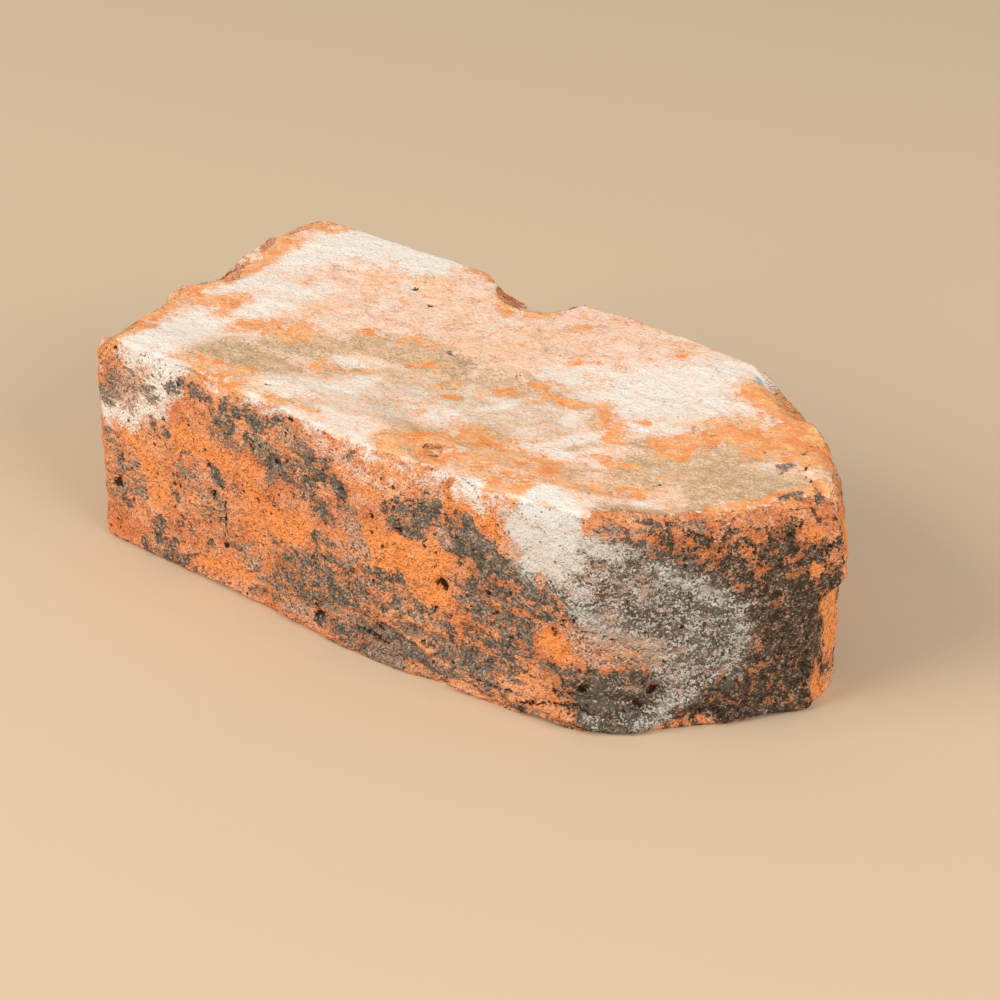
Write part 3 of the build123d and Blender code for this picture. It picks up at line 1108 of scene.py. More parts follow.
    def relief(self, grid: Grid) -> tuple[Grid, np.ndarray]:
        """Roughens the laid grid along its normals, and keeps it inside the CAD brick's box.

        The depth is the sum of wide lumps, fine grain, strike marks drawn along the length
        on the upper bed, thin ledges low on the fair stretcher, flakes off the side faces,
        crumbling where the normal turns between a face and the upper bed, loose pits, and
        the marks taken from the photograph. On the lower bed only a share of it is kept,
        always inwards. The chips come last.

        Args:
            grid: the laid grid.

        Returns:
            The rough grid, and for each point how far it lies inside the nearest hole or
            crack, below zero outside them.
        """
        places, facing = grid.points, grid.normals()
        upper = eased(facing[:, 2], 0.75, 0.95)
        under = eased(-facing[:, 2], 0.6, 0.9)
        side = (1 - upper) * (1 - under)
        arris = eased(facing[:, 2], 0.1, 0.35) * (1 - eased(facing[:, 2], 0.9, 0.995))
        depth = self.grained(places, upper, side)
        ledges, inside = self.laminated(places, facing, side)
        depth += ledges
        flakes = self.noise(places, self.flake_size, 3, Pattern.FLAKES) - self.flake_least
        depth -= self.flake_depth * np.maximum(flakes, 0) * side
        crumble = self.noise(places, self.crumble_size, 3, Pattern.CRUMBLE) + self.crumble_more
        depth -= self.crumble_depth * np.maximum(crumble, 0) * arris
        depth -= self.loose_pit_depth(places, side)
        depth, inside = self.marked(places, depth, inside)
        depth = np.where(under > 0.5, -self.under_share * np.abs(depth), depth)
        moved = places + facing * depth[:, None]
        for chip in CHIPS:
            moved = self.chipped(chip, moved, places, facing)
        return Grid(np.clip(moved, self.low, self.high), grid.quads), inside

    def grained(self, places: np.ndarray, upper: np.ndarray, side: np.ndarray) -> np.ndarray:
        """Adds up lumps, grain and strike marks.

        Args:
            places: the laid points.
            upper: how much each point lies on the upper bed, from 0 to 1.
            side: how much it lies on a side face.

        Returns:
            The height at each point, below zero inwards.
        """
        lumps = self.noise(places, self.lump_size, 2, Pattern.LUMPS)
        height = self.lump_depth * lumps * (0.4 + 0.6 * side)
        grain = self.noise(places, self.grain_size, 2, Pattern.GRAIN)
        rough = 0.55 + 0.45 * self.noise(places, self.roughness_size, 2, Pattern.ROUGHNESS)
        height += self.grain_depth * grain * np.where(upper > 0.5, 0.5, 1.0) * (0.6 + 0.8 * rough)
        along = drawn_out(places, self.strike_stretch)
        height += self.strike_depth * self.noise(along, self.strike_size, 2, Pattern.STRIKE) * upper
        return height

    def laminated(
        self, places: np.ndarray, facing: np.ndarray, side: np.ndarray
    ) -> tuple[np.ndarray, np.ndarray]:
        """Makes the thin ledges low on the fair stretcher, where the clay was folded in.

        They come from a noise that is drawn out along the length and falls a little towards
        the point, so it has the look of leaves.

        Args:
            places: the laid points.
            facing: the laid normals.
            side: how much each point lies on a side face.

        Returns:
            The height at each point, and how far it lies inside a dark gap between leaves.
        """
        low_right = side * eased(-facing[:, 1], 0.3, 0.7) * eased(places[:, 0], -45.0, 0.0)
        low_right *= 1 - eased(places[:, 2], 12.0, 30.0)
        tilted = places + places[:, :1] * np.array([0.0, 0.0, self.leaf_fall])
        tilted = drawn_out(tilted, self.leaf_stretch)
        leaves = self.noise(tilted, self.leaf_size, 2, Pattern.LEAVES)
        ledges = self.lamination_depth * (eased(leaves, -0.2, 0.24) - 0.5) * low_right
        return ledges, self.leaf_shade * (low_right * eased(-leaves, 0.12, 0.36) - 1.0)

    def marked(
        self, places: np.ndarray, depth: np.ndarray, inside: np.ndarray
    ) -> tuple[np.ndarray, np.ndarray]:
        """Presses the photograph's cracks, folds, pits and pebbles into the skin.

        Args:
            places: the laid points.
            depth: the height so far at each point.
            inside: how far each point lies inside a dark gap so far.

        Returns:
            Both, with the marks.
        """
        jagged = wandered(places, self.jag_reach, self.jag_size, self.seed + Pattern.MARKS)
        for groove in GROOVES:
            line = self.on_brick(groove.path)
            if line is not None:
                gap = line_distance(jagged, line)
                width = max(groove.width, self.least_groove)
                depth = depth - groove.depth * (1 - eased(gap, 0.0, width))
                if groove.depth > self.shaded_groove_depth:
                    inside = np.maximum(inside, self.groove_shade_share * groove.width - gap)
        for dent in DENTS:
            spot = self.on_brick((dent.at,))
            if spot is not None:
                gap = line_distance(jagged, spot)
                floor, rim = self.pit_floor_share * dent.radius, self.pit_rim_share * dent.radius
                depth = depth - dent.depth * (1 - eased(gap, floor, rim))
                if dent.depth > self.shaded_pit_depth:
                    inside = np.maximum(inside, self.pit_shade_share * dent.radius - gap)
        return depth, inside

    def chipped(
        self, chip: Chip, moved: np.ndarray, places: np.ndarray, facing: np.ndarray
    ) -> np.ndarray:
        """Breaks a chip off: what stands above a rough plane near its line is pressed down to it.

        The plane faces as the skin does on average near the line, and lies at the chip's
        depth below the line's middle, give or take a noise.

        Args:
            chip: the chip.
            moved: the rough points.
            places: the same points as laid.
            facing: the laid skin's normals.

        Returns:
            The rough points with the chip gone.
        """
        line = self.on_brick(chip.path)
        if line is None:
            return moved
        core, rim = self.chip_core_share * chip.width, self.chip_rim_share * chip.width
        near = 1 - eased(line_distance(places, line), core, rim)
        outward = facing.T @ near
        outward /= np.linalg.norm(outward)
        rough = self.break_share * chip.depth
        broken = rough * self.noise(places, self.break_size, 3, Pattern.CHIPS)
        above = (moved - line.mean(axis=0)) @ outward + chip.depth + broken
        return moved - np.outer(np.maximum(above, 0) * near, outward)

    def loose_pit_depth(self, places: np.ndarray, side: np.ndarray) -> np.ndarray:
        """Small pits scattered over the side faces, each a rounded cup.

        Args:
            places: the grid's points.
            side: how much each point lies on a side face.

        Returns:
            The depth at each point.
        """
        random = np.random.default_rng(self.seed)
        share = side + self.bed_pit_chance
        centres = places[random.choice(len(places), self.loose_pits, p=share / share.sum())]
        sizes = random.uniform(self.least_pit, self.largest_pit, self.loose_pits)
        depth = np.zeros(len(places))
        order = np.argsort(places[:, 0])
        along = places[order, 0]
        for centre, size in zip(centres, sizes):
            start, end = np.searchsorted(along, (centre[0] - size, centre[0] + size))
            near = order[start:end]
            gap = np.linalg.norm(places[near] - centre, axis=1) / size
            cup = self.pit_depth_share * size * (1 - np.minimum(gap, 1) ** 2)
            depth[near] = np.maximum(depth[near], cup)
        return depth

    def stain(self, places: np.ndarray, strokes: Sequence[Stroke]) -> np.ndarray:
        """How much of each point's surroundings a stain covers, falling off with the distance.

        Args:
            places: the grid's points.
            strokes: the stain's patches.

        Returns:
            The strongest stroke's cover at each point.
        """
        total = np.zeros(len(places))
        for stroke in strokes:
            line = self.on_brick(stroke.path)
            if line is not None:
                gap = line_distance(places, line) / stroke.reach
                share = np.clip(self.stroke_end - gap, 0, 1)
                total = np.maximum(total, stroke.strength * share)
        return total

    def spread_stains(self, grid: Grid) -> dict[Stain, np.ndarray]:
        """Works out the stains' thin cover away from their patches.

        The faces that the photograph shows get flecks between the patches, and pale dust
        along the stretcher's upper arris. The hidden ones get plain patchy stains, with no
        soot on their uppermost part.

        Args:
            grid: the laid grid.

        Returns:
            The cover at each point, for the stains that have one.
        """
        places, facing = grid.points, grid.normals()
        eye = np.array(self.view.eye_m()) / MM
        distance = np.linalg.norm(eye - places, axis=1)
        hidden = eased(-np.einsum("ij,ij->i", eye - places, facing) / distance, -0.1, 0.1)
        seen = 1 - hidden
        top = self.high[2]
        upper = eased(facing[:, 2], 0.85, 0.98)
        stretcher = seen * eased(-facing[:, 1], 0.75, 0.95)
        dusted = seen * (1 - upper) * eased(-facing[:, 1], 0.3, 0.6)
        dusted *= eased(places[:, 2], top - 10, top - 2)
        cant = seen * eased(facing[:, 0], 0.4, 0.65) * (1 - upper)
        buried = hidden * (1 - eased(places[:, 2], top - 11, top - 5))
        along = (places[:, 0] - self.low[0]) / (self.high[0] - self.low[0])
        broad = self.noise(places, self.broad_size, 3, Pattern.BROAD)
        other = self.noise(places, self.other_size, 3, Pattern.OTHER)
        small = self.noise(places, self.small_size, 2, Pattern.SMALL)
        long_places = drawn_out(places, self.drawn_stretch)
        drawn = self.noise(long_places, self.drawn_size, 3, Pattern.DRAWN)
        return {
            Stain.SOOT: stretcher * np.clip(0.16 * along + 0.36 * small, 0, 0.4)
            + buried * np.clip(0.45 + 0.9 * broad, 0, 1),
            Stain.LIME: upper * np.clip(0.02 + 0.45 * drawn, 0, 0.36)
            + dusted * np.clip(0.16 + 0.5 * small, 0, 0.4)
            + hidden * np.clip(0.26 + 0.8 * other, 0, 0.75),
            Stain.CHARCOAL: cant * np.clip(0.36 + 0.45 * small, 0, 0.7)
            + buried * np.clip(0.1 + 0.9 * broad * other, 0, 0.6),
            Stain.CLEAR: hidden * np.clip(0.3 - 0.9 * broad, 0, 0.9),
            Stain.BARE: upper * np.clip(0.03 + 0.45 * drawn, 0, 0.34),
            Stain.TAN: upper * np.clip(0.04 + 0.4 * other, 0, 0.22),
        }

    @staticmethod
    def attach(mesh: bpy.types.Mesh, name: str, values: np.ndarray) -> None:
        """Gives the mesh a number at each point, for the material to read."""
        layer = mesh.attributes.new(name, "FLOAT", "POINT")
        layer.data.foreach_set("value", values.astype(np.float32))

    def build(self) -> bpy.types.Object:
        """Makes the skin, with one attribute for each stain.

        A stain gives way to another where both lie: tan to lime, both to the worn arris,
        and soot, dust and charcoal to clear clay.

        Returns:
            The skin's object, at the origin.
        """
        laid = self.laid(self.closed_grid())
        rough, inside = self.relief(laid)
        mesh = rough.mesh("brick_skin")
        spread = self.spread_stains(laid)
        stain_seed = self.seed + Pattern.STAINS
        ragged = wandered(laid.points, self.stain_reach, self.stain_size, stain_seed)
        cover = {
            stain: np.maximum(self.stain(ragged, strokes), spread.get(stain, 0.0))
            for stain, strokes in STROKES.items()
        }
        top = self.high[2]
        upper = eased(laid.normals()[:, 2], 0.88, 0.99)
        arris = upper + (1 - upper) * eased(laid.points[:, 2], top - 8.5, top - 3)
        worn = 1 - eased(line_distance(ragged, self.on_brick(WORN_ARRIS)), 3.0, 5.2)
        cover[Stain.LIME] -= 0.9 * self.stain(ragged, STROKES[Stain.BARE])
        cover[Stain.TAN] -= 0.6 * cover[Stain.LIME] + 0.7 * worn
        cover[Stain.LIME] -= 0.7 * worn
        cover[Stain.CHARCOAL] *= 1 - 0.8 * arris
        cover[Stain.WASH] *= 1 - 0.95 * upper
        for stain in (Stain.SOOT, Stain.STREAK, Stain.CHARCOAL):
            cover[stain] -= 1.1 * cover[Stain.CLEAR]
        # Painted shade inside pits, cracks and the gaps between leaves
        cover[Stain.HOLE] = inside
        for stain, values in cover.items():
            self.attach(mesh, stain.value, values)
        self.attach(mesh, "upper_bed", upper * (1 - worn))
        skin = bpy.data.objects.new("brick_skin", mesh)
        bpy.context.scene.collection.objects.link(skin)
        LOG.info("brick_skin: %d points, %d quads", len(rough.points), len(rough.quads))
        return skin


# Shader graphs

MIX_INPUTS = (0, 6, 7)  # the Mix node's sockets for the factor and the two colours
MIX_RESULT = 2  # and for the mixed colour


class Graph:
    """Short ways to add and join the nodes of one tree."""

    def __init__(self, tree: bpy.types.NodeTree) -> None:
        """Takes the tree that the nodes go into."""
        self.tree = tree

    def add(self, kind: str, **settings: object) -> bpy.types.Node:
        """Adds a node.

        Args:
            kind: the node's type.
            settings: the node's own settings.

        Returns:
            The node.
        """
        node = self.tree.nodes.new(kind)
        for name, value in settings.items():
            setattr(node, name, value)
        return node

    def feed(self, socket: Socket, value: Socket | float | Colour) -> None:
        """Joins a socket to another one, or sets its value.

        Args:
            socket: the input to feed.
            value: the output to take, or the value to set.
        """
        if isinstance(value, Socket):
            self.tree.links.new(value, socket)
        else:
            socket.default_value = value

    def math(self, operation: str, *values: Socket | float) -> Socket:
        """Does one sum.

        Args:
            operation: the sum's name in the math node.
            values: up to three numbers.

        Returns:
            The result.
        """
        node = self.add("ShaderNodeMath", operation=operation)
        for socket, value in zip(node.inputs, values):
            self.feed(socket, value)
        return node.outputs[0]

    def times(self, first: Socket | float, second: Socket | float) -> Socket:
        """The product of two numbers."""
        return self.math("MULTIPLY", first, second)

    def times_plus(self, value: Socket, factor: Socket | float, more: Socket | float) -> Socket:
        """The value times a factor, and more added."""
        return self.math("MULTIPLY_ADD", value, factor, more)

    def most(self, first: Socket, second: Socket) -> Socket:
        """The larger of two numbers."""
        return self.math("MAXIMUM", first, second)

    def rest(self, share: Socket) -> Socket:
        """What a share leaves of 1."""
        return self.math("SUBTRACT", 1.0, share)

    def mixed(self, first: Socket, weight: float, second: Socket) -> Socket:
        """The first number by its weight, and the second by what the weight leaves of 1."""
        return self.times_plus(first, weight, self.times(second, 1 - weight))

    def blend(self, share: Socket, first: Socket | Colour, second: Socket | Colour) -> Socket:
        """Mixes two colours.

        Args:
            share: how much of the second colour there is.
            first: the colour where the share is 0.
            second: the colour where the share is 1.

        Returns:
            The mixed colour.
        """
        node = self.add("ShaderNodeMix", data_type="RGBA", clamp_factor=True)
        for place, value in zip(MIX_INPUTS, (share, first, second)):
            self.feed(node.inputs[place], value)
        return node.outputs[MIX_RESULT]

    def noise(self, where: Socket, scale: float, detail: float, rough: float) -> Socket:
        """Makes a noise.

        Args:
            where: the coordinates.
            scale: cells to the metre.
            detail: how many finer layers it has.
            rough: how strong the finer layers are.

        Returns:
            A value from 0 to 1.
        """
        node = self.add("ShaderNodeTexNoise", noise_dimensions="3D")
        self.feed(node.inputs["Vector"], where)
        for name, value in (("Scale", scale), ("Detail", detail), ("Roughness", rough)):
            self.feed(node.inputs[name], value)
        return node.outputs["Fac"]

    def scatter(self, where: Socket, scale: Socket | float) -> tuple[Socket, bpy.types.Node]:
        """Divides space into cells, each around a point of its own.

        Args:
            where: the coordinates.
            scale: cells to the metre.

        Returns:
            The distance to the cell's point, and a node with three numbers drawn for the cell.
        """
        cells = self.add("ShaderNodeTexVoronoi", feature="F1")
        self.feed(cells.inputs["Vector"], where)
        self.feed(cells.inputs["Scale"], scale)
        drawn = self.add("ShaderNodeSeparateColor")
        self.feed(drawn.inputs[0], cells.outputs["Color"])
        return cells.outputs["Distance"], drawn

    def step(self, value: Socket, low: Socket | float, high: Socket | float) -> Socket:
        """Rises smoothly from 0 to 1.

        Args:
            value: the number that it follows.
            low: where it is 0.
            high: where it is 1.

        Returns:
            The step.
        """
        node = self.add("ShaderNodeMapRange", interpolation_type="SMOOTHSTEP")
        for name, fed in (("Value", value), ("From Min", low), ("From Max", high)):
            self.feed(node.inputs[name], fed)
        return node.outputs["Result"]

    def ramp(self, value: Socket, low: float, high: float, top: float) -> Socket:
        """Rises smoothly from 0 at the low value to the top at the high one."""
        return self.times(self.step(value, low, high), top)

    def stretched(self, where: Socket, factors: tuple[float, float, float]) -> Socket:
        """Multiplies coordinates by a factor for each axis.

        Args:
            where: the coordinates.
            factors: one for each axis, where less than 1 draws a texture out along it.

        Returns:
            The new coordinates.
        """
        node = self.add("ShaderNodeVectorMath", operation="MULTIPLY")
        self.feed(node.inputs[0], where)
        node.inputs[1].default_value = factors
        return node.outputs[0]

    def shaken(self, where: Socket, scale: float, reach_m: float) -> Socket:
        """Moves coordinates by a noise, to make round things crooked.

        Args:
            where: the coordinates.
            scale: the noise's cells to the metre.
            reach_m: the farthest move along each axis. The least is 0.

        Returns:
            The new coordinates.
        """
        noise = self.add("ShaderNodeTexNoise")
        self.feed(noise.inputs["Vector"], where)
        noise.inputs["Scale"].default_value = scale
        moved = self.add("ShaderNodeVectorMath", operation="MULTIPLY_ADD")
        self.feed(moved.inputs[0], noise.outputs["Color"])
        moved.inputs[1].default_value = (reach_m, reach_m, reach_m)
        self.feed(moved.inputs[2], where)
        return moved.outputs[0]

    def attribute(self, name: str) -> Socket:
        """A number that the mesh carries at each point."""
        node = self.add("ShaderNodeAttribute", attribute_type="GEOMETRY", attribute_name=name)
        return node.outputs["Fac"]

    def mask(self, group: bpy.types.NodeTree, **inputs: Socket | float) -> Socket:
        """Places a node group that makes a mask.

        Args:
            group: the group.
            inputs: what its inputs are fed, by their names.

        Returns:
            The mask.
        """
        node = self.add("ShaderNodeGroup", node_tree=group)
        for name, value in inputs.items():
            self.feed(node.inputs[name], value)
        return node.outputs["Mask"]


def mask_group(
    name: str, inputs: dict[str, float | None]
) -> tuple[Graph, dict[str, Socket], Socket]:
    """Starts a node group that makes a mask.

    Args:
        name: the group's name.
        inputs: its number inputs with their defaults, and its coordinate inputs with None.

    Returns:
        The graph to fill, the sockets that bring the inputs, and the socket that takes the mask.
    """
    tree = bpy.data.node_groups.new(name, "ShaderNodeTree")
    for label, default in inputs.items():
        kind = "NodeSocketVector" if default is None else "NodeSocketFloat"
        socket = tree.interface.new_socket(label, in_out="INPUT", socket_type=kind)
        if default is not None:
            socket.default_value = default
    tree.interface.new_socket("Mask", in_out="OUTPUT", socket_type="NodeSocketFloat")
    graph = Graph(tree)
    enter, leave = graph.add("NodeGroupInput"), graph.add("NodeGroupOutput")
    return graph, {label: enter.outputs[label] for label in inputs}, leave.inputs["Mask"]


def cover_group() -> bpy.types.NodeTree:
    """A stain's mask from the share that it covers: on where a noise lies below the share.

    The noise is spread so that it fills 0 to 1 evenly, and is part coarse and part fine.

    Returns:
        The node group.
    """
    defaults = {"Cover": 0.0, "Coarse": 0.5, "Fine": 0.5, "Grain": 0.3, "Softness": 0.06}
    graph, given, out = mask_group("broken_cover", defaults)
    kept = graph.rest(given["Grain"])
    fine = graph.times(given["Fine"], given["Grain"])
    level = graph.step(graph.times_plus(given["Coarse"], kept, fine), 0.12, 0.88)
    low = graph.math("SUBTRACT", level, given["Softness"])
    high = graph.math("ADD", level, given["Softness"])
    mask = graph.step(given["Cover"], low, high)
    graph.feed(out, graph.times(mask, graph.step(given["Cover"], 0.02, 0.16)))
    return graph.tree


def pore_group() -> bpy.types.NodeTree:
    """Round pores: in each cell of a scatter, a disc of its own size, or none.

    Returns:
        The node group.
    """
    defaults = {"Where": None, "Size": 300.0, "Widest": 0.3, "Fewest": 0.5}
    graph, given, out = mask_group("pores", defaults)
    distance, drawn = graph.scatter(given["Where"], given["Size"])
    share = graph.step(drawn.outputs[0], given["Fewest"], 1.0)
    radius = graph.times(share, given["Widest"])
    rim = graph.math("ADD", radius, 0.01)
    graph.feed(out, graph.rest(graph.step(distance, graph.times(radius, 0.6), rim)))
    return graph.tree


class ClayGraph(Graph):
    """The clay material's nodes, with the noises and the groups that its layers share."""

    def __init__(self, tree: bpy.types.NodeTree) -> None:
        """Adds the coordinates, the cover group and the noises to the material's tree.

        Args:
            tree: the tree that the nodes go into.
        """
        super().__init__(tree)
        self.where = self.add("ShaderNodeTexCoord").outputs["Object"]
        self.cover = cover_group()
        self.noises = self.spread_noises()

    def spread_noises(self) -> dict[str, Socket]:
        """Makes the noises, each spread to fill 0 to 1.

        Returns:
            The noises by name. Speckle is one number for each grain, and grains is how near
            a grain's middle is.
        """
        where = self.where
        drawn = self.stretched(where, (0.85, 1.0, 1.0))
        level = self.stretched(where, (0.32, 0.32, 1.0))
        plain = {
            "fine": self.noise(where, 2300.0, 1.0, 0.5),
            "grit": self.noise(where, 1250.0, 1.0, 0.7),
            "speck": self.noise(where, 800.0, 2.0, 0.65),
            "tone": self.noise(where, 300.0, 3.0, 0.65),
            "broken": self.noise(where, 290.0, 4.0, 0.72),
            "patch": self.noise(where, 150.0, 4.0, 0.66),
            "broad": self.noise(where, 48.0, 3.0, 0.6),
            "drawn": self.noise(drawn, 190.0, 4.0, 0.7),
            "drawn_small": self.noise(drawn, 330.0, 3.0, 0.68),
            "leafy": self.noise(level, 480.0, 3.0, 0.68),
        }
        spread = {name: self.step(socket, 0.34, 0.66) for name, socket in plain.items()}
        distance, chance = self.scatter(where, 1600.0)
        spread["fine"] = self.mixed(chance.outputs[0], 0.7, spread["fine"])
        spread["grainy"] = self.mixed(spread["fine"], 0.55, spread["tone"])
        spread["grit"] = self.mixed(spread["grit"], 0.35, chance.outputs[1])
        spread["speckle"] = chance.outputs[2]
        spread["grains"] = self.times_plus(distance, -1.4, 1.0)
        return spread

    def broken(
        self,
        share: Socket,
        noise: str,
        grain: float,
        softness: float,
        fine: str = "fine",
    ) -> Socket:
        """Breaks up a share into a mask.

        Args:
            share: how much is covered.
            noise: the name of the coarse noise.
            grain: how much of the noise is fine.
            softness: how gradual the edge is.
            fine: the name of the fine noise.

        Returns:
            The mask.
        """
        coarse, small = self.noises[noise], self.noises[fine]
        settings = {"Coarse": coarse, "Fine": small, "Grain": grain, "Softness": softness}
        return self.mask(self.cover, Cover=share, **settings)


@dataclass(frozen=True)
class Layer:
    """One stain's finish: what it takes to break up its edge, and its two colours.

    Args:
        stain: which stain it is.
        noise: the name of the coarse noise that breaks it up.
        grain: how much of the noise is fine.
        softness: how gradual its edge is.
        gain: what its share is multiplied by.
        cover: how much of what is under it is hidden.
        first, second: the colours that it varies between.
        tone: the name of the noise that mixes them.
        scorched: how far the clay beside it is browned.
    """

    stain: Stain
    noise: str
    grain: float
    softness: float
    gain: float
    cover: float
    first: Colour
    second: Colour
    tone: str
    scorched: float = 0.0


@dataclass(frozen=True)
class FiredClay:
    """The brick's finish: orange clay with its lime, soot and washes."""

    clay: Colour = srgb(227, 132, 78)
    clay_light: Colour = srgb(250, 172, 118)
    clay_pink: Colour = srgb(244, 180, 142)
    clay_clean: Colour = srgb(255, 157, 83)
    clay_dull: Colour = srgb(204, 122, 78)
    clay_deep: Colour = srgb(150, 74, 38)
    bed_haze: Colour = srgb(252, 222, 200)
    bed_peach: Colour = srgb(250, 202, 168)
    bed_orange: Colour = srgb(246, 166, 116)
    bed_gold: Colour = srgb(254, 200, 150)
    scorch: Colour = srgb(160, 102, 66)
    # Painted shade inside pores, pinholes, pits, cracks and the gaps between leaves
    hole: Colour = srgb(48, 24, 14)
    # Painted shade between the grains and painted highlight on their tops; the dark and the pale
    # grains take these colours too
    hollow_shade: Colour = srgb(58, 40, 28)
    grain_top_highlight: Colour = srgb(255, 226, 196)
    wash: Colour = srgb(221, 215, 204)
    wash_salt: Colour = srgb(222, 217, 207)
    wash_veil: Colour = srgb(150, 145, 132)
    rim_gain: float = 1.8
    rim_softness: float = 0.12
    veil_cover: float = 0.33
    salt_gain: float = 0.54
    salt_cover: float = 0.85
    coat_cover: float = 0.9
    # How strong the painted shade between the grains is
    hollow_shade_cover: float = 0.72
    dark_grain_cover: float = 0.55
    # How strong the painted highlight on the grain tops is
    top_highlight_cover: float = 0.36
    pale_grain_cover: float = 0.3
    roughness: float = 0.86
    roughness_spread: float = 0.1
    specular: float = 0.12
    bump_strength: float = 0.85
    bump_m: float = 0.001
    layers: tuple[Layer, ...] = (
        Layer(
            Stain.TAN, "drawn", grain=0.6, softness=0.5, gain=1.0, cover=0.9,
            first=srgb(168, 130, 86), second=srgb(234, 203, 161), tone="grainy",
        ),
        Layer(
            Stain.BARE, "drawn_small", grain=0.35, softness=0.26, gain=0.92, cover=0.94,
            first=srgb(242, 144, 78), second=srgb(255, 188, 126), tone="patch",
        ),
        Layer(
            Stain.LIME, "drawn", grain=0.55, softness=0.5, gain=0.88, cover=0.92,
            first=srgb(236, 214, 190), second=srgb(254, 247, 236), tone="grainy",
        ),
        Layer(
            Stain.LIME, "grit", grain=0.5, softness=0.2, gain=0.52, cover=0.62,
            first=srgb(248, 236, 218), second=srgb(255, 250, 241), tone="fine",
        ),
        Layer(
            Stain.STREAK, "leafy", grain=0.3, softness=0.14, gain=0.76, cover=0.88,
            first=srgb(78, 69, 60), second=srgb(180, 160, 138), tone="grit", scorched=0.35,
        ),
        Layer(
            Stain.SOOT, "broken", grain=0.36, softness=0.07, gain=0.82, cover=0.97,
            first=srgb(38, 34, 30), second=srgb(156, 144, 128), tone="grainy", scorched=0.4,
        ),
        # Charcoal, and painted shade along folds and cracks and in the crater
        Layer(
            Stain.CHARCOAL, "broken", grain=0.3, softness=0.07, gain=0.8, cover=0.97,
            first=srgb(15, 13, 11), second=srgb(110, 95, 80), tone="grainy", scorched=0.75,
        ),
        Layer(
            Stain.SALMON, "broken", grain=0.4, softness=0.16, gain=0.85, cover=0.88,
            first=srgb(96, 68, 50), second=srgb(246, 200, 170), tone="grit",
        ),
        Layer(
            Stain.GLAZE, "broken", grain=0.3, softness=0.15, gain=1.0, cover=0.88,
            first=srgb(128, 180, 190), second=srgb(186, 216, 218), tone="grainy",
        ),
    )

    def material(self) -> bpy.types.Material:
        """Builds the material: bare clay first, then each stain over it, then the relief.

        Returns:
            The material.
        """
        material = bpy.data.materials.new("fired_clay")
        material.use_nodes = True
        material.node_tree.nodes.clear()
        graph = ClayGraph(material.node_tree)
        masks = {stain: graph.attribute(stain.value) for stain in Stain}
        upper = graph.attribute("upper_bed")
        on_bed = graph.broken(upper, "patch", 0.3, 0.12)
        walls = self.wall_clay(graph, masks[Stain.CLEAR])
        colour = graph.blend(on_bed, walls, self.bed_clay(graph))
        for layer in self.layers:
            colour = self.covered(graph, layer, masks[layer.stain], colour)
        colour = self.washed(graph, masks[Stain.WASH], colour)
        coat = graph.step(masks[Stain.WASH], 0.7, 1.3)
        smooth = graph.most(graph.times(on_bed, 0.62), graph.times(coat, 0.75))
        # Painted shade between the grains and painted highlight on their tops, with dark and pale
        # grains
        colour = self.grain_shade_and_highlight(graph, smooth, colour)
        # Painted shade: pores, pinholes, pits, cracks and the gaps between leaves take the hole
        # colour
        pore, pin = self.pores(graph)
        sides = graph.times_plus(upper, -0.75, 1.0)
        pore_shade = graph.times(graph.most(pore, graph.times(pin, 0.8)), sides)
        shake = graph.times_plus(graph.noises["speck"], 0.6, -0.3)
        hole = graph.step(graph.math("ADD", masks[Stain.HOLE], shake), -0.25, 0.2)
        dark = graph.most(graph.times(pore_shade, 0.85), graph.times(hole, 0.95))
        holes = graph.most(graph.times(pore, sides), hole)
        shader = graph.add("ShaderNodeBsdfPrincipled")
        rough = graph.times_plus(graph.noises["speck"], self.roughness_spread, self.roughness)
        graph.feed(shader.inputs["Base Color"], graph.blend(dark, colour, self.hole))
        graph.feed(shader.inputs["Roughness"], rough)
        shader.inputs["Specular IOR Level"].default_value = self.specular
        bump = graph.add("ShaderNodeBump")
        bump.inputs["Strength"].default_value = self.bump_strength
        bump.inputs["Distance"].default_value = self.bump_m
        graph.feed(bump.inputs["Height"], self.height(graph, upper, coat, holes))
        graph.feed(shader.inputs["Normal"], bump.outputs["Normal"])
        output = graph.add("ShaderNodeOutputMaterial")
        graph.feed(output.inputs["Surface"], shader.outputs[0])
        return material

    @staticmethod
    def pores(graph: ClayGraph) -> tuple[Socket, Socket]:
        """Scatters pores and pinholes, crooked and each of its own size.

        Args:
            graph: the material's graph.

        Returns:
            The mask of the pores and the mask of the pinholes.
        """
        group = pore_group()
        crooked = graph.shaken(graph.where, 900.0, 0.0012)
        pore = graph.mask(group, Where=crooked, Size=280.0, Widest=0.24, Fewest=0.55)
        pin = graph.mask(group, Where=crooked, Size=700.0, Widest=0.34, Fewest=0.4)
        return pore, pin

    @staticmethod
    def height(graph: ClayGraph, upper: Socket, coat: Socket, holes: Socket) -> Socket:
        """The fine relief: grains and tone, weaker on the upper bed and the wash, less the holes.

        Args:
            graph: the material's graph.
            upper: how much the place lies on the upper bed.
            coat: how solid the wash is.
            holes: the mask of the pores and holes.

        Returns:
            The height that the bump takes.
        """
        noises = graph.noises
        height = graph.times_plus(noises["grains"], 0.4, noises["tone"])
        height = graph.times_plus(noises["speck"], 0.2, height)
        height = graph.times(height, graph.times_plus(upper, -0.72, 1.0))
        height = graph.times(height, graph.times_plus(coat, -0.5, 1.0))
        return graph.times_plus(holes, -0.7, height)

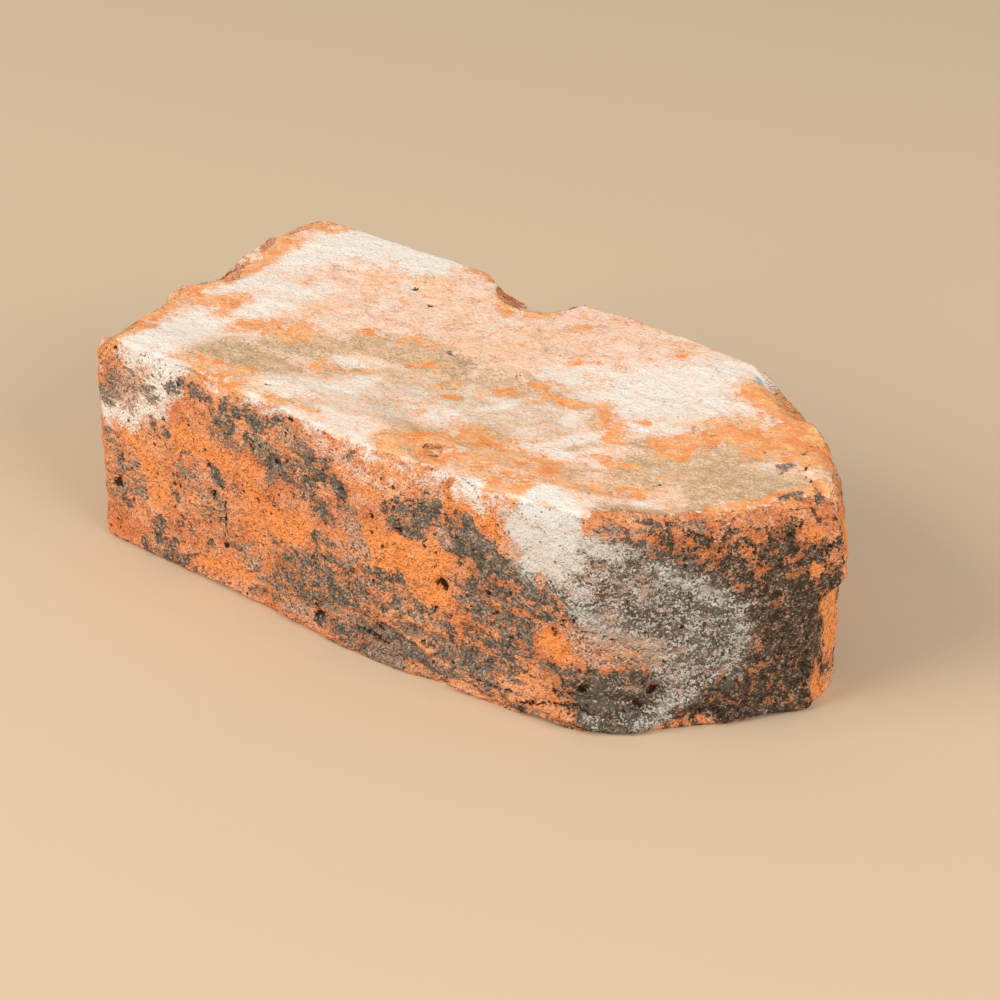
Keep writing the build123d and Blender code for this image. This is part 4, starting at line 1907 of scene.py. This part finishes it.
    def grain_shade_and_highlight(self, graph: ClayGraph, smooth: Socket, colour: Socket) -> Socket:
        """Darkens the hollows between the grains and brightens their tops.

        The darkening is painted shade and the brightening a painted highlight. Both are
        stronger where the clay is rough, and each adds a few single grains, dark ones and
        pale ones.

        Args:
            graph: the material's graph.
            smooth: how smooth the place is, where 1 has no grit.
            colour: the colour so far.

        Returns:
            The colour with its grit.
        """
        noises = graph.noises
        rough = graph.times_plus(graph.step(noises["tone"], 0.2, 0.9), 0.75, 0.25)
        share = graph.times(graph.rest(smooth), rough)
        low = graph.rest(graph.step(noises["grit"], 0.0, 0.5))
        few = graph.rest(graph.step(noises["speckle"], 0.03, 0.06))
        # Painted shade between the grains; the dark grains take the same colour
        hollow_shade = graph.times(low, self.hollow_shade_cover)
        dark = graph.times(few, self.dark_grain_cover)
        colour = graph.blend(graph.times(graph.most(hollow_shade, dark), share), colour, self.hollow_shade)
        # Painted highlight on the grain tops; the pale grains take the same colour
        top = graph.ramp(noises["fine"], 0.55, 1.0, self.top_highlight_cover)
        pale = graph.ramp(noises["speckle"], 0.95, 0.98, self.pale_grain_cover)
        return graph.blend(graph.times(graph.most(top, pale), share), colour, self.grain_top_highlight)

    def covered(self, graph: ClayGraph, layer: Layer, share: Socket, colour: Socket) -> Socket:
        """Lays one stain over the colour so far, and browns the clay beside it.

        Args:
            graph: the material's graph.
            layer: the stain's finish.
            share: how much the stain covers.
            colour: the colour so far.

        Returns:
            The colour with the stain.
        """
        if layer.scorched > 0:
            wider = graph.times(share, layer.gain * self.rim_gain)
            rim = graph.broken(wider, layer.noise, layer.grain, self.rim_softness)
            colour = graph.blend(graph.times(rim, layer.scorched), colour, self.scorch)
        gained = graph.times(share, layer.gain)
        mask = graph.broken(gained, layer.noise, layer.grain, layer.softness)
        own = graph.blend(graph.noises[layer.tone], layer.first, layer.second)
        return graph.blend(graph.times(mask, layer.cover), colour, own)

    def washed(self, graph: ClayGraph, share: Socket, colour: Socket) -> Socket:
        """Lays the pale wash: a thin veil, pale grains on it, and a coat where it is strongest.

        Args:
            graph: the material's graph.
            share: how much the wash covers.
            colour: the colour so far.

        Returns:
            The colour with the wash.
        """
        veil = graph.broken(share, "patch", 0.4, 0.45)
        colour = graph.blend(graph.times(veil, self.veil_cover), colour, self.wash_veil)
        thin = graph.times(share, self.salt_gain)
        salt = graph.broken(thin, "leafy", 0.75, 0.13, fine="grit")
        colour = graph.blend(graph.times(salt, self.salt_cover), colour, self.wash_salt)
        thick = graph.times_plus(graph.noises["tone"], 0.3, share)
        return graph.blend(graph.ramp(thick, 0.85, 1.4, self.coat_cover), colour, self.wash)

    def wall_clay(self, graph: ClayGraph, clear: Socket) -> Socket:
        """The side faces' orange: broad drifts, pink patches and deep grains.

        Args:
            graph: the material's graph.
            clear: how clean the clay is.

        Returns:
            The colour.
        """
        noises = graph.noises
        colour = graph.blend(noises["broad"], self.clay, self.clay_light)
        for share, other in (
            (graph.ramp(noises["patch"], 0.5, 0.95, 0.6), self.clay_pink),
            (graph.ramp(noises["tone"], 0.45, 1.0, 0.4), self.clay_dull),
            (graph.ramp(clear, 0.1, 0.8, 0.88), self.clay_clean),
            (graph.ramp(noises["speck"], 0.6, 1.0, 0.4), self.clay_deep),
        ):
            colour = graph.blend(share, colour, other)
        return colour

    def bed_clay(self, graph: ClayGraph) -> Socket:
        """The upper bed under its stains: clay seen through a thin pale haze.

        Args:
            graph: the material's graph.

        Returns:
            The colour.
        """
        noises = graph.noises
        cloud = graph.mixed(noises["patch"], 0.6, noises["fine"])
        colour = graph.blend(cloud, self.bed_haze, self.bed_peach)
        drift = graph.ramp(noises["broad"], 0.4, 1.0, 0.5)
        colour = graph.blend(drift, colour, self.bed_gold)
        return graph.blend(graph.ramp(noises["speck"], 0.5, 1.0, 0.4), colour, self.bed_orange)


# The studio


@dataclass(frozen=True)
class Lamp:
    """A soft rectangular light that faces the brick."""

    name: str
    azimuth: float
    elevation: float
    distance_m: float
    size_m: float
    power: float

    def place(self) -> bpy.types.Object:
        """Makes the light and turns it to the brick.

        Returns:
            The light's object.
        """
        data = bpy.data.lights.new(self.name, "AREA")
        data.size = self.size_m
        data.energy = self.power
        lamp = bpy.data.objects.new(self.name, data)
        away = direction(self.azimuth, self.elevation)
        lamp.location = away * self.distance_m
        lamp.rotation_mode = "QUATERNION"
        lamp.rotation_quaternion = away.to_track_quat("Z", "Y")
        bpy.context.scene.collection.objects.link(lamp)
        return lamp


@dataclass(frozen=True)
class Studio:
    """The pale floor, the sky's even light and the lamps."""

    floor_half_m: float = 3.0
    floor_steps: int = 8
    floor_colour: Colour = srgb(218, 192, 160)
    floor_roughness: float = 0.9
    floor_specular: float = 0.1
    sky_colour: Colour = (1.0, 1.0, 1.0, 1.0)
    sky_strength: float = 0.46
    lamps: tuple[Lamp, ...] = (
        Lamp("key_light", -28.0, 34.0, 1.8, 1.2, 24.0),
        Lamp("fill_light", 80.0, 28.0, 1.8, 1.2, 18.0),
    )

    def floor(self) -> bpy.types.Object:
        """Makes the floor: a square grid at z = 0, large enough to fill every view.

        Returns:
            The floor's object.
        """
        half = self.floor_half_m / MM
        count = self.floor_steps + 1
        side = np.linspace(-half, half, count)
        across, along = np.meshgrid(side, side, indexing="ij")
        points = np.stack([across, along, np.zeros_like(across)], axis=-1).reshape(-1, 3)
        quads = quads_between(np.arange(count**2).reshape(count, count))
        floor = bpy.data.objects.new("floor", Grid(points, quads).mesh("floor"))
        bpy.context.scene.collection.objects.link(floor)
        material = bpy.data.materials.new("pale_floor")
        material.use_nodes = True
        shader = material.node_tree.nodes["Principled BSDF"]
        shader.inputs["Base Color"].default_value = self.floor_colour
        shader.inputs["Roughness"].default_value = self.floor_roughness
        shader.inputs["Specular IOR Level"].default_value = self.floor_specular
        floor.data.materials.append(material)
        return floor

    def sky(self) -> None:
        """Lights the scene evenly from all round."""
        world = bpy.data.worlds.new("even_light")
        bpy.context.scene.world = world
        world.use_nodes = True
        background = world.node_tree.nodes["Background"]
        background.inputs["Color"].default_value = self.sky_colour
        background.inputs["Strength"].default_value = self.sky_strength

    def build(self) -> None:
        """Sets up the floor, the sky and the lamps."""
        self.floor()
        self.sky()
        for lamp in self.lamps:
            lamp.place()
        LOG.info("studio: floor and %d lamps", len(self.lamps))


def main() -> None:
    """Builds the brick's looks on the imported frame."""
    logging.basicConfig(level=logging.INFO, format="%(name)s %(message)s")
    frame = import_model()
    view = PhotoView()
    view.place()
    Studio().build()
    node = frame["nodes"]["brick"]
    low, high = (np.array(corner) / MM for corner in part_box("brick"))
    skin = BrickSkin(node, view, low, high).build()
    skin.data.materials.append(FiredClay().material())
    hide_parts("brick")
    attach(skin, "root")
    bpy.context.scene.view_settings.view_transform = "Standard"
    bpy.context.view_layer.update()


if __name__ == "__main__":
    main()
